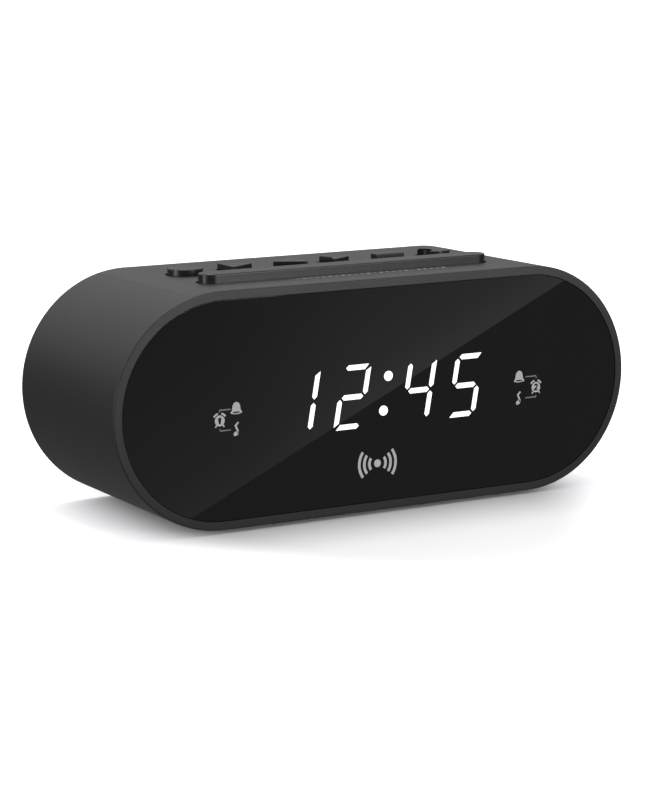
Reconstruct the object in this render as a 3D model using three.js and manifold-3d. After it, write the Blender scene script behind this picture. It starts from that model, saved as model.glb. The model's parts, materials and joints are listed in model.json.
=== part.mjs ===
// Clock radio with a stadium-shaped case, a gloss display window and a row of moulded keys.
// Millimetres. +Z up, the display faces -Y, +X is to the right of someone facing the display.
// The origin is on the resting surface, under the middle of the case.
import * as THREE from 'three';
import { mergeVertices } from 'three/addons/utils/BufferGeometryUtils.js';
import Module from 'manifold-3d';

const wasm = await Module();
wasm.setup();

// ---------- driving dimensions ----------
const bodyWidth = 156;
const bodyHeight = 62;
const bodyDepth = 58.5;
const wall = 2.2;
const edgeRound = 0.5;
const footProud = 1;
const footRadius = 4.5;
const footSetIn = 0.7;
const footInsetX = 3;
const footInsetY = 8.75;

const rimLip = 0.1;
const lensThickness = 2;
const lensRecess = 0.2;
const glueThickness = 0.3;
const ledgeWidth = 2;
const ledgeThickness = 1.6;

const partingAngle = 15.8;
const rimDepth = 1.2;
const tongueAngle = 24;
const tongueThickness = 1.4;

const fixedGap = 0.2;
const seatGap = 0.15;
const keyGap = 0.6;

const keyHeight = 1.75;
const keyTravel = 0.8;
const keyRowY = 6.2;
const flangeReach = 0.7;
const flangeThickness = 1.2;
const keyEdge = 0.25;
const snoozeHeight = 2.4;
const snoozeTravel = 1;
const snoozeLeftInset = 2.2;
const snoozeRightInset = 4.4;
const snoozeDepth = 7.1;
const snoozeRowY = -12;
const postRadius = 1.8;

// Each key sits at a share of the half-length of the flat top.
const roundKey = { across: -0.8477, radius: 4.75 };
const rightArrowKey = { across: -0.503, width: 8.6, depth: 10.2 };
const leftArrowKey = { across: -0.1957, width: 8.7, depth: 10.2 };
const notchedArrowKey = { across: 0.1468, width: 8, depth: 9.8, notch: 2 };
const barKey = { across: 0.4894, width: 9, depth: 3.5 };
const crescentKey = { across: 0.8085, radius: 4.6, biteRadius: 3.3, biteOffset: 4.5 };
const keyCorner = 0.45;
const innerCorner = 0.3;

const boardThickness = 1.6;
const switchSize = 6;
const switchBodyHeight = 3.6;
const switchPlungerHeight = 0.7;
const switchPlungerRadius = 1.7;
const keyBoardOverhang = 3;
const keyBoardFrontY = -17;
const keyBoardRearY = 12.6;
const keyBoardPostInset = 1;
const keyBoardPostY = -3.3;
const keyBoardPostRadius = 3;
const postLength = 5.2;
const guideRadius = 1.5;

const rearCoverThickness = 2.4;
const rearCoverRecess = 1.05;
const rearScrewAngle = 35;
const rearBossRadius = 3.6;
const rearBossLength = 14;

const screwShaft = 1.2;
const screwHead = 2.6;
const screwHeadHeight = 1.5;
const screwPilot = 1.4;
const boardScrewLength = 6;
const rearScrewLength = 8;

const digitHeight = 17;
const digitSpan = 7.5;
const segmentWidth = 1.6;
const segmentGap = 0.35;
const digitSlant = 0.179;
const digitPitch = 15.1;
const hourMinuteGap = 20.1;
const digitMidX = 0.95;
const digitMidZ = 0.2;
const colonDots = [[1.95, 4.85], [0.4, -4.3]];
const colonRadius = 1.45;
const displayHalfWidth = 54;
const displayHalfHeight = 13;
const maskMargin = 2;
const maskThickness = 0.6;
const diffuserPlate = 1;
const diffuserRise = 0.7;
const windowGap = 0.15;
const lightBoxDepth = 7.6;
const boardEarHalfHeight = 5;
const boardEarReach = 11;
const displayScrewInset = 4;
const mainScrewInset = 3;
const stackGap = 0.1;

const boardSpacing = 5.05;
const ribbonThickness = 0.3;
const mainBoardDrop = 3;
const mainBoardHalfWidth = 62;

const speakerX = 42;
const speakerMargin = 11;
const speakerRimWidth = 3;
const speakerDepth = 11;
const magnetShare = 0.575;
const magnetDepth = 7.5;
const gasketThickness = 0.6;
const speakerSides = 24;
const grilleSlotWidth = 1.6;
const grillePitch = 3.4;
const grilleMargin = 1;

const glandX = -52;
const glandZ = 14;
const glandBore = 3.2;
const glandNeck = 5;
const glandFlange = 6.3;
const aerialX = -38;
const aerialBore = 1.1;
const aerialNeck = 2.3;
const aerialFlange = 3.1;

const cellRadius = 5.25;
const cellLength = 44.5;
const cellNub = 0.8;
const springLength = 3.5;
const contactPlate = 0.4;
const trayWall = 1.2;
const trayClearance = 0.8;
const doorTongue = 1.2;
const doorTongueThickness = 0.7;
const trayRearGap = 0.3;

// ---------- sizes that follow ----------
const frontY = -bodyDepth / 2;
const rearY = bodyDepth / 2;
const endRadius = bodyHeight / 2;
const endX = bodyWidth / 2 - endRadius;
const midZ = footProud + endRadius;
const rimWidth = wall + rimLip;
const topZ = midZ + endRadius;
const innerRadius = endRadius - wall;
const lensBackY = frontY + lensRecess + lensThickness;
const ledgeFrontY = lensBackY + glueThickness;
const cavityFrontY = ledgeFrontY + ledgeThickness;
const rearCoverBackY = rearY - rearCoverRecess;
const rearCoverFrontY = rearCoverBackY - rearCoverThickness;
const panelUnderZ = topZ - wall;
const flangeTopZ = panelUnderZ - fixedGap;
const flangeBottomZ = flangeTopZ - flangeThickness;
const snoozeLeft = snoozeLeftInset - endX;
const snoozeRight = endX - snoozeRightInset;
for (const key of [roundKey, rightArrowKey, leftArrowKey, notchedArrowKey, barKey, crescentKey]) {
  key.x = key.across * endX;
}
const footX = endX - footInsetX;
const footY = rearY - footInsetY;
const keyBoardHalfWidth = endX + keyBoardOverhang;
const keyBoardPosts = [keyBoardPostInset - endX, endX - keyBoardPostInset];
const keyBoardTopZ = panelUnderZ - postLength - boardThickness - 2 * fixedGap - switchBodyHeight;
const switchTopZ = keyBoardTopZ + switchBodyHeight + switchPlungerHeight + fixedGap;
const floorZ = footProud + wall;
const trayHalfLength = (cellLength + springLength + contactPlate + 2 * fixedGap + 1) / 2;
const trayWidth = 4 * cellRadius + trayClearance + stackGap;
const doorFrontY = rearCoverFrontY - trayRearGap - trayWidth - 2 * trayWall - fixedGap;
const trayFrontY = doorFrontY + fixedGap + trayWall;
const trayHeight = 2 * cellRadius + trayClearance;
const maskFrontY = lensBackY + fixedGap;
const diffuserFrontY = maskFrontY + stackGap;
const diffuserPlateY = diffuserFrontY + diffuserRise;
const lightBoxFrontY = diffuserPlateY + diffuserPlate + stackGap;
const displayBoardY = lightBoxFrontY + lightBoxDepth + stackGap;
const mainBoardY = displayBoardY + boardThickness + boardSpacing;
const mainFaceY = mainBoardY + boardThickness + stackGap;
const mainBoardTopZ = keyBoardTopZ - boardThickness - mainBoardDrop;
const displayBoardEarX = displayHalfWidth + boardEarReach;
const mainBoardEarX = mainBoardHalfWidth + boardEarReach;
const displayScrewX = displayBoardEarX - displayScrewInset;
const mainScrewX = mainBoardEarX - mainScrewInset;
const speakerRadius = endRadius - speakerMargin;
const speakerHole = speakerRadius - speakerRimWidth;
const magnetRadius = magnetShare * speakerRadius;
const grilleRadius = speakerHole - grilleMargin;
const rimY = rearCoverFrontY - gasketThickness;
const basketY = rimY - speakerDepth;

// ---------- finishes ----------
const finish = (color, roughness, metalness = 0) => () =>
  new THREE.MeshStandardMaterial({ color, roughness, metalness });
const casePlastic = finish(0x3b3b3d, 0.62);
const topPlastic = finish(0x454547, 0.6);
const keyPlastic = finish(0x404042, 0.55);
const lensBlack = finish(0x08080a, 0.08);
const blackSheet = finish(0x0c0c0d, 0.8);
const diffuserWhite = finish(0xf2f5f7, 0.5);
const lightBoxWhite = finish(0xdddddc, 0.6);
const boardGreen = finish(0x1f5a38, 0.5);
const chipBlack = finish(0x18181a, 0.5);
const steel = finish(0xb9bcc0, 0.35, 1);
const nickel = finish(0xc8c6bd, 0.3, 1);
const ferrite = finish(0x2b2b2e, 0.7);
const coneBlack = finish(0x161617, 0.9);
const foamBlack = finish(0x1b1b1b, 0.95);
const rubberBlack = finish(0x151515, 0.85);
const copperTape = finish(0xc9a23c, 0.6);
const ribbonGrey = finish(0x9a9da3, 0.6);
const wireRed = finish(0x8e1f1f, 0.6);
const cellJacket = finish(0x33506b, 0.4);

// ---------- geometry helpers ----------
// Drops everything but position, welds the vertices and leaves out triangles with no area.
function weld(geometry) {
  const bare = new THREE.BufferGeometry();
  bare.setAttribute('position', geometry.getAttribute('position').clone());
  if (geometry.index) bare.setIndex(geometry.index.clone());
  const welded = mergeVertices(bare, 1e-4);
  const index = Array.from(welded.index.array);
  const kept = [];
  for (let i = 0; i < index.length; i += 3) {
    const [a, b, c] = index.slice(i, i + 3);
    if (a !== b && b !== c && c !== a) kept.push(a, b, c);
  }
  welded.setIndex(kept);
  return welded;
}

// Turns the faces round when they point inwards.
function faceOutwards(geometry) {
  const position = geometry.getAttribute('position');
  const index = geometry.index.array;
  const [a, b, c] = [new THREE.Vector3(), new THREE.Vector3(), new THREE.Vector3()];
  let volume = 0;
  for (let i = 0; i < index.length; i += 3) {
    a.fromBufferAttribute(position, index[i]);
    b.fromBufferAttribute(position, index[i + 1]);
    c.fromBufferAttribute(position, index[i + 2]);
    volume += a.dot(b.cross(c));
  }
  if (volume > 0) return geometry;
  const turned = [];
  for (let i = 0; i < index.length; i += 3) turned.push(index[i], index[i + 2], index[i + 1]);
  geometry.setIndex(turned);
  return geometry;
}

function solid(geometry) {
  const clean = faceOutwards(weld(geometry));
  const mesh = new wasm.Mesh({
    numProp: 3,
    vertProperties: new Float32Array(clean.getAttribute('position').array),
    triVerts: new Uint32Array(clean.index.array),
  });
  return new wasm.Manifold(mesh);
}

function geometryOf(manifold) {
  const mesh = manifold.getMesh();
  const geometry = new THREE.BufferGeometry();
  const corners = new Float32Array(mesh.vertProperties);
  geometry.setAttribute('position', new THREE.BufferAttribute(corners, 3));
  geometry.setIndex(new THREE.BufferAttribute(new Uint32Array(mesh.triVerts), 1));
  return geometry;
}

const join = (first, ...others) => others.reduce((whole, next) => whole.add(next), first);
const cut = (first, ...others) => others.reduce((whole, next) => whole.subtract(next), first);

// A flat outline drawn in X and Z, made solid from fromY to toY; round > 0 rounds both end edges.
function alongY(points, fromY, toY, round = 0) {
  const geometry = extrude(points, toY - fromY, round);
  geometry.rotateX(Math.PI / 2);
  geometry.translate(0, toY, 0);
  return solid(geometry);
}

// A flat outline drawn in X and Y, made solid from fromZ to toZ.
function alongZ(points, fromZ, toZ, round = 0) {
  const geometry = extrude(points, toZ - fromZ, round);
  geometry.translate(0, 0, fromZ);
  return solid(geometry);
}

// A flat outline drawn in Y and Z, made solid from fromX to toX.
function alongX(points, fromX, toX) {
  const geometry = extrude(points, toX - fromX, 0);
  geometry.rotateX(Math.PI / 2);
  geometry.rotateZ(Math.PI / 2);
  geometry.translate(fromX, 0, 0);
  return solid(geometry);
}

function extrude(points, length, round) {
  const shape = new THREE.Shape(points.map(([x, y]) => new THREE.Vector2(x, y)));
  const options = { depth: length - 2 * round, bevelEnabled: round > 0, steps: 1 };
  const rounding = { bevelThickness: round, bevelSize: round, bevelOffset: -round, bevelSegments: 2 };
  if (round > 0) Object.assign(options, rounding);
  const geometry = new THREE.ExtrudeGeometry(shape, options);
  geometry.translate(0, 0, round);
  return geometry;
}

function block(fromX, toX, fromY, toY, fromZ, toZ) {
  const geometry = new THREE.BoxGeometry(toX - fromX, toY - fromY, toZ - fromZ);
  geometry.translate((fromX + toX) / 2, (fromY + toY) / 2, (fromZ + toZ) / 2);
  return solid(geometry);
}

// A profile of [radius, height] pairs turned about the Y axis.
function turned(profile, sides) {
  const points = profile.map(([r, y]) => new THREE.Vector2(r, y));
  return solid(new THREE.LatheGeometry(points, sides));
}

function rod(radius, fromY, toY, sides = 14) {
  return turned([[0, fromY], [radius, fromY], [radius, toY], [0, toY]], sides);
}

const upright = (shape) => shape.rotate([90, 0, 0]);
const lengthways = (shape) => shape.rotate([0, 0, -90]);

// ---------- outlines ----------
function arc(x, y, radius, fromDegrees, toDegrees, steps) {
  return Array.from({ length: steps + 1 }, (_, i) => {
    const angle = THREE.MathUtils.degToRad(fromDegrees + (toDegrees - fromDegrees) * i / steps);
    return [x + radius * Math.cos(angle), y + radius * Math.sin(angle)];
  });
}

function pill(halfStraight, radius, x, y, steps) {
  const right = arc(x + halfStraight, y, radius, -90, 90, steps);
  const left = arc(x - halfStraight, y, radius, 90, 270, steps);
  return [...right, ...left];
}

// The case outline, set in from the outside by inset.
const caseOutline = (inset) => pill(endX, endRadius - inset, 0, midZ, 24);

// The part of the tube that is the top panel: between the parting lines and outside the inner radius.
function crown(radius, degrees) {
  const outside = endRadius + 6;
  const lift = (r, x, angle) => {
    const turn = THREE.MathUtils.degToRad(angle);
    return [x + r * Math.sin(turn), midZ + r * Math.cos(turn)];
  };
  return [
    lift(outside, -endX, -degrees),
    ...arc(-endX, midZ, radius, 90 + degrees, 90, 6),
    ...arc(endX, midZ, radius, 90, 90 - degrees, 6),
    lift(outside, endX, degrees),
    [bodyWidth / 2, topZ + outside],
    [-bodyWidth / 2, topZ + outside],
  ];
}

// A curved strip of the tube wall between two angles from straight up, on one side.
function wallStrip(side, fromDegrees, toDegrees, inner, outer) {
  const strip = [
    ...arc(endX, midZ, inner, 90 - fromDegrees, 90 - toDegrees, 4),
    ...arc(endX, midZ, outer, 90 - toDegrees, 90 - fromDegrees, 4),
  ].map(([x, z]) => [side * x, z]);
  return side > 0 ? strip : strip.reverse();
}

// Moves every edge of an outline outwards by grow, then rounds its corners.
function softened(corners, radius, grow) {
  const count = corners.length;
  const offset = corners.map((corner, i) => {
    const before = corners[(i + count - 1) % count];
    const after = corners[(i + 1) % count];
    return mitre(before, corner, after, grow);
  });
  return offset.flatMap((corner, i) => {
    const before = offset[(i + count - 1) % count];
    const after = offset[(i + 1) % count];
    return fillet(before, corner, after, radius + grow);
  });
}

const towards = ([ax, ay], [bx, by]) => {
  const length = Math.hypot(bx - ax, by - ay);
  return [(bx - ax) / length, (by - ay) / length];
};

function mitre(before, corner, after, grow) {
  const [ux, uy] = towards(before, corner);
  const [vx, vy] = towards(corner, after);
  const cosine = ux * vx + uy * vy;
  const reach = grow / (1 + cosine);
  return [corner[0] + (uy + vy) * reach, corner[1] - (ux + vx) * reach];
}

function fillet(before, corner, after, radius) {
  const toBefore = towards(corner, before);
  const toAfter = towards(corner, after);
  const turn = toBefore[0] * toAfter[1] - toBefore[1] * toAfter[0];
  const half = Math.acos(toBefore[0] * toAfter[0] + toBefore[1] * toAfter[1]) / 2;
  const convex = turn < 0;
  const bend = convex ? radius : innerCorner;
  const reach = bend / Math.tan(half);
  const middle = towards([0, 0], [toBefore[0] + toAfter[0], toBefore[1] + toAfter[1]]);
  const centre = corner.map((value, i) => value + middle[i] * bend / Math.sin(half));
  const angleTo = (side) => {
    const [dx, dy] = corner.map((value, i) => value + side[i] * reach - centre[i]);
    return Math.atan2(dy, dx);
  };
  const from = THREE.MathUtils.radToDeg(angleTo(toBefore));
  let to = THREE.MathUtils.radToDeg(angleTo(toAfter));
  if (convex && to < from) to += 360;
  if (!convex && to > from) to -= 360;
  return arc(centre[0], centre[1], bend, from, to, 3);
}

// ---------- outlines of the keys, each grown outwards by grow ----------
const roundOutline = (grow) => arc(roundKey.x, keyRowY, roundKey.radius + grow, 0, 342, 19);

function arrowOutline({ x, width, depth }, direction, grow) {
  const back = x - direction * width / 2;
  const corners = [
    [back, keyRowY - depth / 2],
    [x + direction * width / 2, keyRowY],
    [back, keyRowY + depth / 2],
  ];
  return softened(direction > 0 ? corners : corners.reverse(), keyCorner, grow);
}

function notchedOutline({ x, width, depth, notch }, grow) {
  const back = x - width / 2;
  const corners = [
    [back, keyRowY - depth / 2],
    [x + width / 2, keyRowY],
    [back, keyRowY + depth / 2],
    [back + notch, keyRowY],
  ];
  return softened(corners, keyCorner, grow);
}

function rectangleOutline({ x, width, depth }, grow) {
  const corners = [
    [x - width / 2, keyRowY - depth / 2],
    [x + width / 2, keyRowY - depth / 2],
    [x + width / 2, keyRowY + depth / 2],
    [x - width / 2, keyRowY + depth / 2],
  ];
  return softened(corners, keyCorner, grow);
}

// A moon open to the left: a disc with a smaller disc taken out of its side.
// Grown far enough, it is a whole disc.
function crescentOutline({ x, radius, biteRadius, biteOffset }, grow) {
  const outer = radius + grow;
  const bite = biteRadius - grow;
  const chord = (biteOffset ** 2 + outer ** 2 - bite ** 2) / (2 * biteOffset);
  if (chord >= outer) return arc(x, keyRowY, outer, 0, 342, 19);
  const tip = THREE.MathUtils.radToDeg(Math.acos(chord / outer));
  const biteTip = THREE.MathUtils.radToDeg(Math.acos((chord - biteOffset) / bite));
  const back = arc(x, keyRowY, outer, tip - 180, 180 - tip, 18);
  const hollow = arc(x - biteOffset, keyRowY, bite, 180 - biteTip, biteTip - 180, 10);
  return [...back, ...hollow.slice(1, -1)];
}

// x is where the key's post and its switch stand.
const keys = [
  { name: 'round_button', x: roundKey.x, outline: roundOutline },
  {
    name: 'right_arrow_button',
    x: rightArrowKey.x - 1,
    outline: (grow) => arrowOutline(rightArrowKey, 1, grow),
  },
  {
    name: 'left_arrow_button',
    x: leftArrowKey.x + 1,
    outline: (grow) => arrowOutline(leftArrowKey, -1, grow),
  },
  {
    name: 'notched_arrow_button',
    x: notchedArrowKey.x + 1,
    outline: (grow) => notchedOutline(notchedArrowKey, grow),
  },
  { name: 'bar_button', x: barKey.x, outline: (grow) => rectangleOutline(barKey, grow) },
  {
    name: 'crescent_button',
    x: crescentKey.x + (crescentKey.biteRadius - crescentKey.biteOffset + crescentKey.radius) / 2 - 0.3,
    outline: (grow) => crescentOutline(crescentKey, grow),
  },
];

function snoozeOutline(grow) {
  const radius = snoozeDepth / 2;
  const middle = (snoozeLeft + snoozeRight) / 2;
  return pill((snoozeRight - snoozeLeft) / 2 - radius, radius + grow, middle, snoozeRowY, 10);
}
const snoozeX = (snoozeLeft + snoozeRight) / 2;

// ---------- the case ----------
function rearScrewPlaces() {
  const angle = THREE.MathUtils.degToRad(rearScrewAngle);
  const reach = innerRadius - 3;
  const x = endX + reach * Math.cos(angle);
  const z = reach * Math.sin(angle);
  return [[-x, midZ - z], [x, midZ - z], [-x, midZ + z], [x, midZ + z]];
}

const footPlaces = [[-footX, -footY], [footX, -footY], [-footX, footY], [footX, footY]];

// The lugs that the two upright boards are screwed to, on one side wall.
function boardLugs(side) {
  const low = midZ - boardEarHalfHeight;
  const high = midZ + boardEarHalfHeight;
  const wallX = bodyWidth / 2 - wall / 2;
  const span = (near, far) => side > 0 ? [near, far] : [-far, -near];
  const rootY = cavityFrontY - 0.4;
  const front = block(...span(displayScrewX - 3.5, wallX), rootY, displayBoardY - stackGap, low, high);
  const rear = block(...span(displayBoardEarX + 0.6, wallX), rootY, mainBoardY - stackGap, low, high);
  const frontPilot = rod(screwPilot, cavityFrontY + 1, displayBoardY + 1, 12);
  const rearPilot = rod(screwPilot, mainBoardY - 8, mainBoardY + 1, 12);
  return cut(
    join(front, rear),
    frontPilot.translate([side * displayScrewX, 0, midZ]),
    rearPilot.translate([side * mainScrewX, 0, midZ]),
  );
}

function doorOpening(gap) {
  const half = trayHalfLength + trayWall - 0.2 + gap;
  const tongue = half + doorTongue;
  const tongueZ = footProud + (wall - doorTongueThickness) / 2;
  const slot = block(-half, half, doorFrontY - gap, rearY + 2, footProud - 1, floorZ - 0.2 + gap);
  const groove = block(
    -tongue, tongue,
    doorFrontY - gap, rearY + 2,
    tongueZ - gap / 2, tongueZ + doorTongueThickness + gap / 2,
  );
  return join(slot, groove);
}

function caseShell() {
  let shell = alongY(caseOutline(0), frontY, rearY, edgeRound);
  shell = cut(
    shell,
    alongY(caseOutline(wall), cavityFrontY, rearY + 2),
    alongY(caseOutline(rimWidth), frontY - 2, ledgeFrontY),
    alongY(caseOutline(rimWidth + ledgeWidth), frontY - 2, cavityFrontY + 1),
    alongY(crown(innerRadius - fixedGap, partingAngle), frontY + rimDepth, rearY + 2),
    doorOpening(fixedGap),
  );
  for (const [x, z] of rearScrewPlaces()) {
    const boss = rod(rearBossRadius, rearCoverFrontY - rearBossLength, rearCoverFrontY - stackGap);
    const pilot = rod(screwPilot, rearCoverFrontY - 10, rearCoverFrontY + 1, 12);
    shell = cut(shell.add(boss.translate([x, 0, z])), pilot.translate([x, 0, z]));
  }
  for (const [x, y] of footPlaces) {
    const seat = upright(rod(footRadius + fixedGap, 0, footSetIn + 2, 20));
    shell = shell.subtract(seat.translate([x, y, footProud - 2]));
  }
  return join(shell, boardLugs(-1), boardLugs(1));
}

function topPanel() {
  const tube = cut(
    alongY(caseOutline(0), frontY, rearY, edgeRound),
    alongY(caseOutline(wall), frontY - 2, rearY + 2),
  );
  const gapAngle = THREE.MathUtils.radToDeg(fixedGap / endRadius);
  const outline = crown(innerRadius - 6, partingAngle - gapAngle);
  let panel = tube.intersect(alongY(outline, frontY + rimDepth + seatGap, rearY + 2));
  const tongueOuter = innerRadius - fixedGap;
  const tongueInner = tongueOuter - tongueThickness;
  for (const side of [-1, 1]) {
    const tongue = wallStrip(side, 9, tongueAngle, tongueInner, tongueOuter);
    const root = wallStrip(side, 9, partingAngle - 2 * gapAngle, tongueInner, innerRadius + 0.6);
    panel = join(
      panel,
      alongY(tongue, cavityFrontY + 0.5, rearCoverFrontY - 0.5),
      alongY(root, cavityFrontY + 0.5, rearCoverFrontY - 0.5),
    );
  }
  for (const x of keyBoardPosts) {
    const post = upright(rod(keyBoardPostRadius, keyBoardTopZ + stackGap, panelUnderZ + 1));
    const pilot = upright(rod(screwPilot, keyBoardTopZ - 1, panelUnderZ - 1, 12));
    const place = [x, keyBoardPostY, 0];
    panel = cut(panel.add(post.translate(place)), pilot.translate(place));
  }
  const holes = keys.map(({ outline }) => alongZ(outline(keyGap), panelUnderZ - 1, topZ + 1));
  return cut(panel, alongZ(snoozeOutline(keyGap), panelUnderZ - 1, topZ + 1), ...holes);
}

function grilleSlots() {
  const rows = Math.floor(grilleRadius / grillePitch);
  return Array.from({ length: 2 * rows + 1 }, (_, i) => {
    const z = (i - rows) * grillePitch;
    const half = Math.sqrt(grilleRadius ** 2 - z ** 2) - grilleSlotWidth / 2;
    const outline = pill(half, grilleSlotWidth / 2, speakerX, midZ + z, 4);
    return alongY(outline, rearCoverFrontY - 1, rearY + 1);
  });
}

function rearCover() {
  let cover = alongY(caseOutline(wall + fixedGap), rearCoverFrontY, rearCoverBackY);
  for (const [x, z] of rearScrewPlaces()) {
    const seat = rod(screwHead + fixedGap, rearCoverBackY - screwHeadHeight, rearY + 1);
    const hole = rod(screwPilot, rearCoverFrontY - 1, rearY + 1, 12);
    cover = cut(cover, seat.translate([x, 0, z]), hole.translate([x, 0, z]));
  }
  const glandHole = rod(glandNeck + fixedGap, rearCoverFrontY - 1, rearY + 1, 24);
  const aerialHole = rod(aerialNeck + fixedGap, rearCoverFrontY - 1, rearY + 1, 16);
  return cut(
    cover,
    glandHole.translate([glandX, 0, glandZ]),
    aerialHole.translate([aerialX, 0, glandZ]),
    ...grilleSlots(),
  );
}

function batteryDoor() {
  const half = trayHalfLength + trayWall - 0.2;
  const tongueZ = footProud + (wall - doorTongueThickness) / 2;
  const plate = block(-half, half, doorFrontY, rearY, footProud, floorZ - 0.2);
  const tongue = block(
    -half - doorTongue, half + doorTongue, doorFrontY, rearY - 2, tongueZ, tongueZ + doorTongueThickness,
  );
  const grips = [0, 1, 2, 3].map((i) => {
    const y = rearY - 4 - 2.4 * i;
    return block(-9, 9, y - 0.6, y + 0.6, footProud - 1, footProud + 0.5);
  });
  return cut(join(plate, tongue), ...grips);
}

// A rubber bush gripping a panel: a neck through the hole and a flange on each side of the panel.
function bush(bore, neck, flange, outerReach, innerReach) {
  const profile = [
    [bore, rearCoverFrontY - innerReach],
    [flange, rearCoverFrontY - innerReach],
    [flange, rearCoverFrontY - stackGap],
    [neck, rearCoverFrontY - stackGap],
    [neck, rearCoverBackY + stackGap],
    [flange, rearCoverBackY + stackGap],
    [flange, rearCoverBackY + outerReach],
    [bore, rearCoverBackY + outerReach],
    [bore, rearCoverFrontY - innerReach],
  ];
  return turned(profile, 18);
}

function foot() {
  const top = footProud + footSetIn - stackGap;
  const chamfer = 0.4;
  const profile = [[0, 0], [footRadius - chamfer, 0], [footRadius, chamfer], [footRadius, top], [0, top]];
  return upright(turned(profile, 20));
}

// ---------- the display ----------
const lens = () => alongY(caseOutline(rimWidth + seatGap), frontY + lensRecess, lensBackY);

const pairPitch = hourMinuteGap + digitPitch;
const digitMiddles = [-0.5, 0.5].flatMap((pair) =>
  [-0.5, 0.5].map((place) => digitMidX + pair * pairPitch + place * digitPitch));

// The seven bars of one digit as pairs of end points about the digit's middle.
function digitBars() {
  const x = digitSpan / 2;
  const z = (digitHeight - segmentWidth) / 2;
  return [
    [[-x, z], [x, z]], [[-x, 0], [x, 0]], [[-x, -z], [x, -z]],
    [[-x, 0], [-x, z]], [[x, 0], [x, z]], [[-x, -z], [-x, 0]], [[x, -z], [x, 0]],
  ];
}

// A bar with mitred ends, leaning with the digit.
function segmentOutline([from, to], middleX, width) {
  const [ux, uz] = towards(from, to);
  const half = width / 2;
  const near = [from[0] + ux * segmentGap, from[1] + uz * segmentGap];
  const far = [to[0] - ux * segmentGap, to[1] - uz * segmentGap];
  const flat = [
    near,
    [near[0] + (ux + uz) * half, near[1] + (uz - ux) * half],
    [far[0] - (ux - uz) * half, far[1] - (uz + ux) * half],
    far,
    [far[0] - (ux + uz) * half, far[1] - (uz - ux) * half],
    [near[0] + (ux - uz) * half, near[1] + (uz + ux) * half],
  ];
  return flat.map(([x, z]) => [middleX + x + digitSlant * (z + digitMidZ), midZ + digitMidZ + z]);
}

function displayOutlines(grow) {
  const bars = digitMiddles.flatMap((x) =>
    digitBars().map((bar) => segmentOutline(bar, x, segmentWidth + grow)));
  const dots = colonDots.map(([x, z]) => arc(x, midZ + z, colonRadius + grow / 2, 0, 330, 11));
  return [...bars, ...dots];
}

function displayMask() {
  const halfWidth = displayHalfWidth + maskMargin;
  const halfHeight = displayHalfHeight + maskMargin;
  const sheet = block(
    -halfWidth, halfWidth,
    maskFrontY, maskFrontY + maskThickness,
    midZ - halfHeight, midZ + halfHeight,
  );
  const windows = displayOutlines(windowGap).map((points) =>
    alongY(points, maskFrontY - 1, maskFrontY + maskThickness + 1));
  return cut(sheet, ...windows);
}

function segmentDiffuser() {
  const plate = block(
    -displayHalfWidth, displayHalfWidth,
    diffuserPlateY, diffuserPlateY + diffuserPlate,
    midZ - displayHalfHeight, midZ + displayHalfHeight,
  );
  const raised = displayOutlines(-windowGap).map((points) =>
    alongY(points, diffuserFrontY, diffuserPlateY + diffuserPlate / 2));
  return join(plate, ...raised);
}

function lightBox() {
  const frame = block(
    -displayHalfWidth, displayHalfWidth,
    lightBoxFrontY, lightBoxFrontY + lightBoxDepth,
    midZ - displayHalfHeight, midZ + displayHalfHeight,
  );
  const partition = 1.2;
  const halfWell = (digitPitch - partition) / 2;
  const halfHeight = displayHalfHeight - 2.5;
  const wells = digitMiddles.map((x) => [x - halfWell, x + halfWell]);
  const colonWell = [wells[1][1] + partition, wells[2][0] - partition];
  const cuts = [...wells, colonWell].map(([left, right]) => block(
    left, right,
    lightBoxFrontY - 1, lightBoxFrontY + lightBoxDepth + 1,
    midZ - halfHeight, midZ + halfHeight,
  ));
  return cut(frame, ...cuts);
}

// An upright board with an ear at each end for its screws.
function uprightBoard(y, halfWidth, low, high, earX, screwX) {
  const sheet = block(-halfWidth, halfWidth, y, y + boardThickness, low, high);
  const ears = block(
    -earX, earX,
    y, y + boardThickness,
    midZ - boardEarHalfHeight, midZ + boardEarHalfHeight,
  );
  const hole = rod(screwPilot, y - 1, y + 3, 12);
  const holes = [-1, 1].map((side) => hole.translate([side * screwX, 0, midZ]));
  return cut(join(sheet, ears), ...holes);
}

// The display board carries one small lamp for each bar and two for the colon.
function displayBoard() {
  const board = uprightBoard(
    displayBoardY, displayHalfWidth + 1, midZ - 16, mainBoardTopZ, displayBoardEarX, displayScrewX,
  );
  const bars = digitMiddles.flatMap((middle) => digitBars().map(([from, to]) => {
    const z = (from[1] + to[1]) / 2 + digitMidZ;
    return [middle + (from[0] + to[0]) / 2 + digitSlant * z, z];
  }));
  const half = 0.6;
  const lamps = [...bars, ...colonDots].map(([x, z]) => block(
    x - half, x + half,
    displayBoardY - 0.7, displayBoardY + 0.3,
    midZ + z - half, midZ + z + half,
  ));
  return join(board, ...lamps);
}

// ---------- electronics ----------
const mainBoard = () => uprightBoard(
  mainBoardY, mainBoardHalfWidth, midZ - 20, mainBoardTopZ, mainBoardEarX, mainScrewX,
);

// A chip with a row of legs along its two long edges.
function chip(fromX, toX, fromY, toY, fromZ, toZ) {
  const pitch = 1.6;
  const legs = Math.floor((toX - fromX) / pitch);
  const body = block(fromX, toX, fromY, toY, fromZ, toZ);
  const rows = Array.from({ length: legs }, (_, i) => {
    const x = fromX + pitch * (i + 0.5);
    return block(x - 0.3, x + 0.3, fromY, fromY + 0.4, fromZ - 1, toZ + 1);
  });
  return join(body, ...rows);
}

const controlChip = () => chip(-6, 8, mainFaceY, mainFaceY + 1.6, midZ - 2, midZ + 6);
const driverChip = () => chip(
  -5, 6,
  displayBoardY + boardThickness + stackGap, displayBoardY + boardThickness + 1.5,
  midZ - 10, midZ - 4,
);

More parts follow.
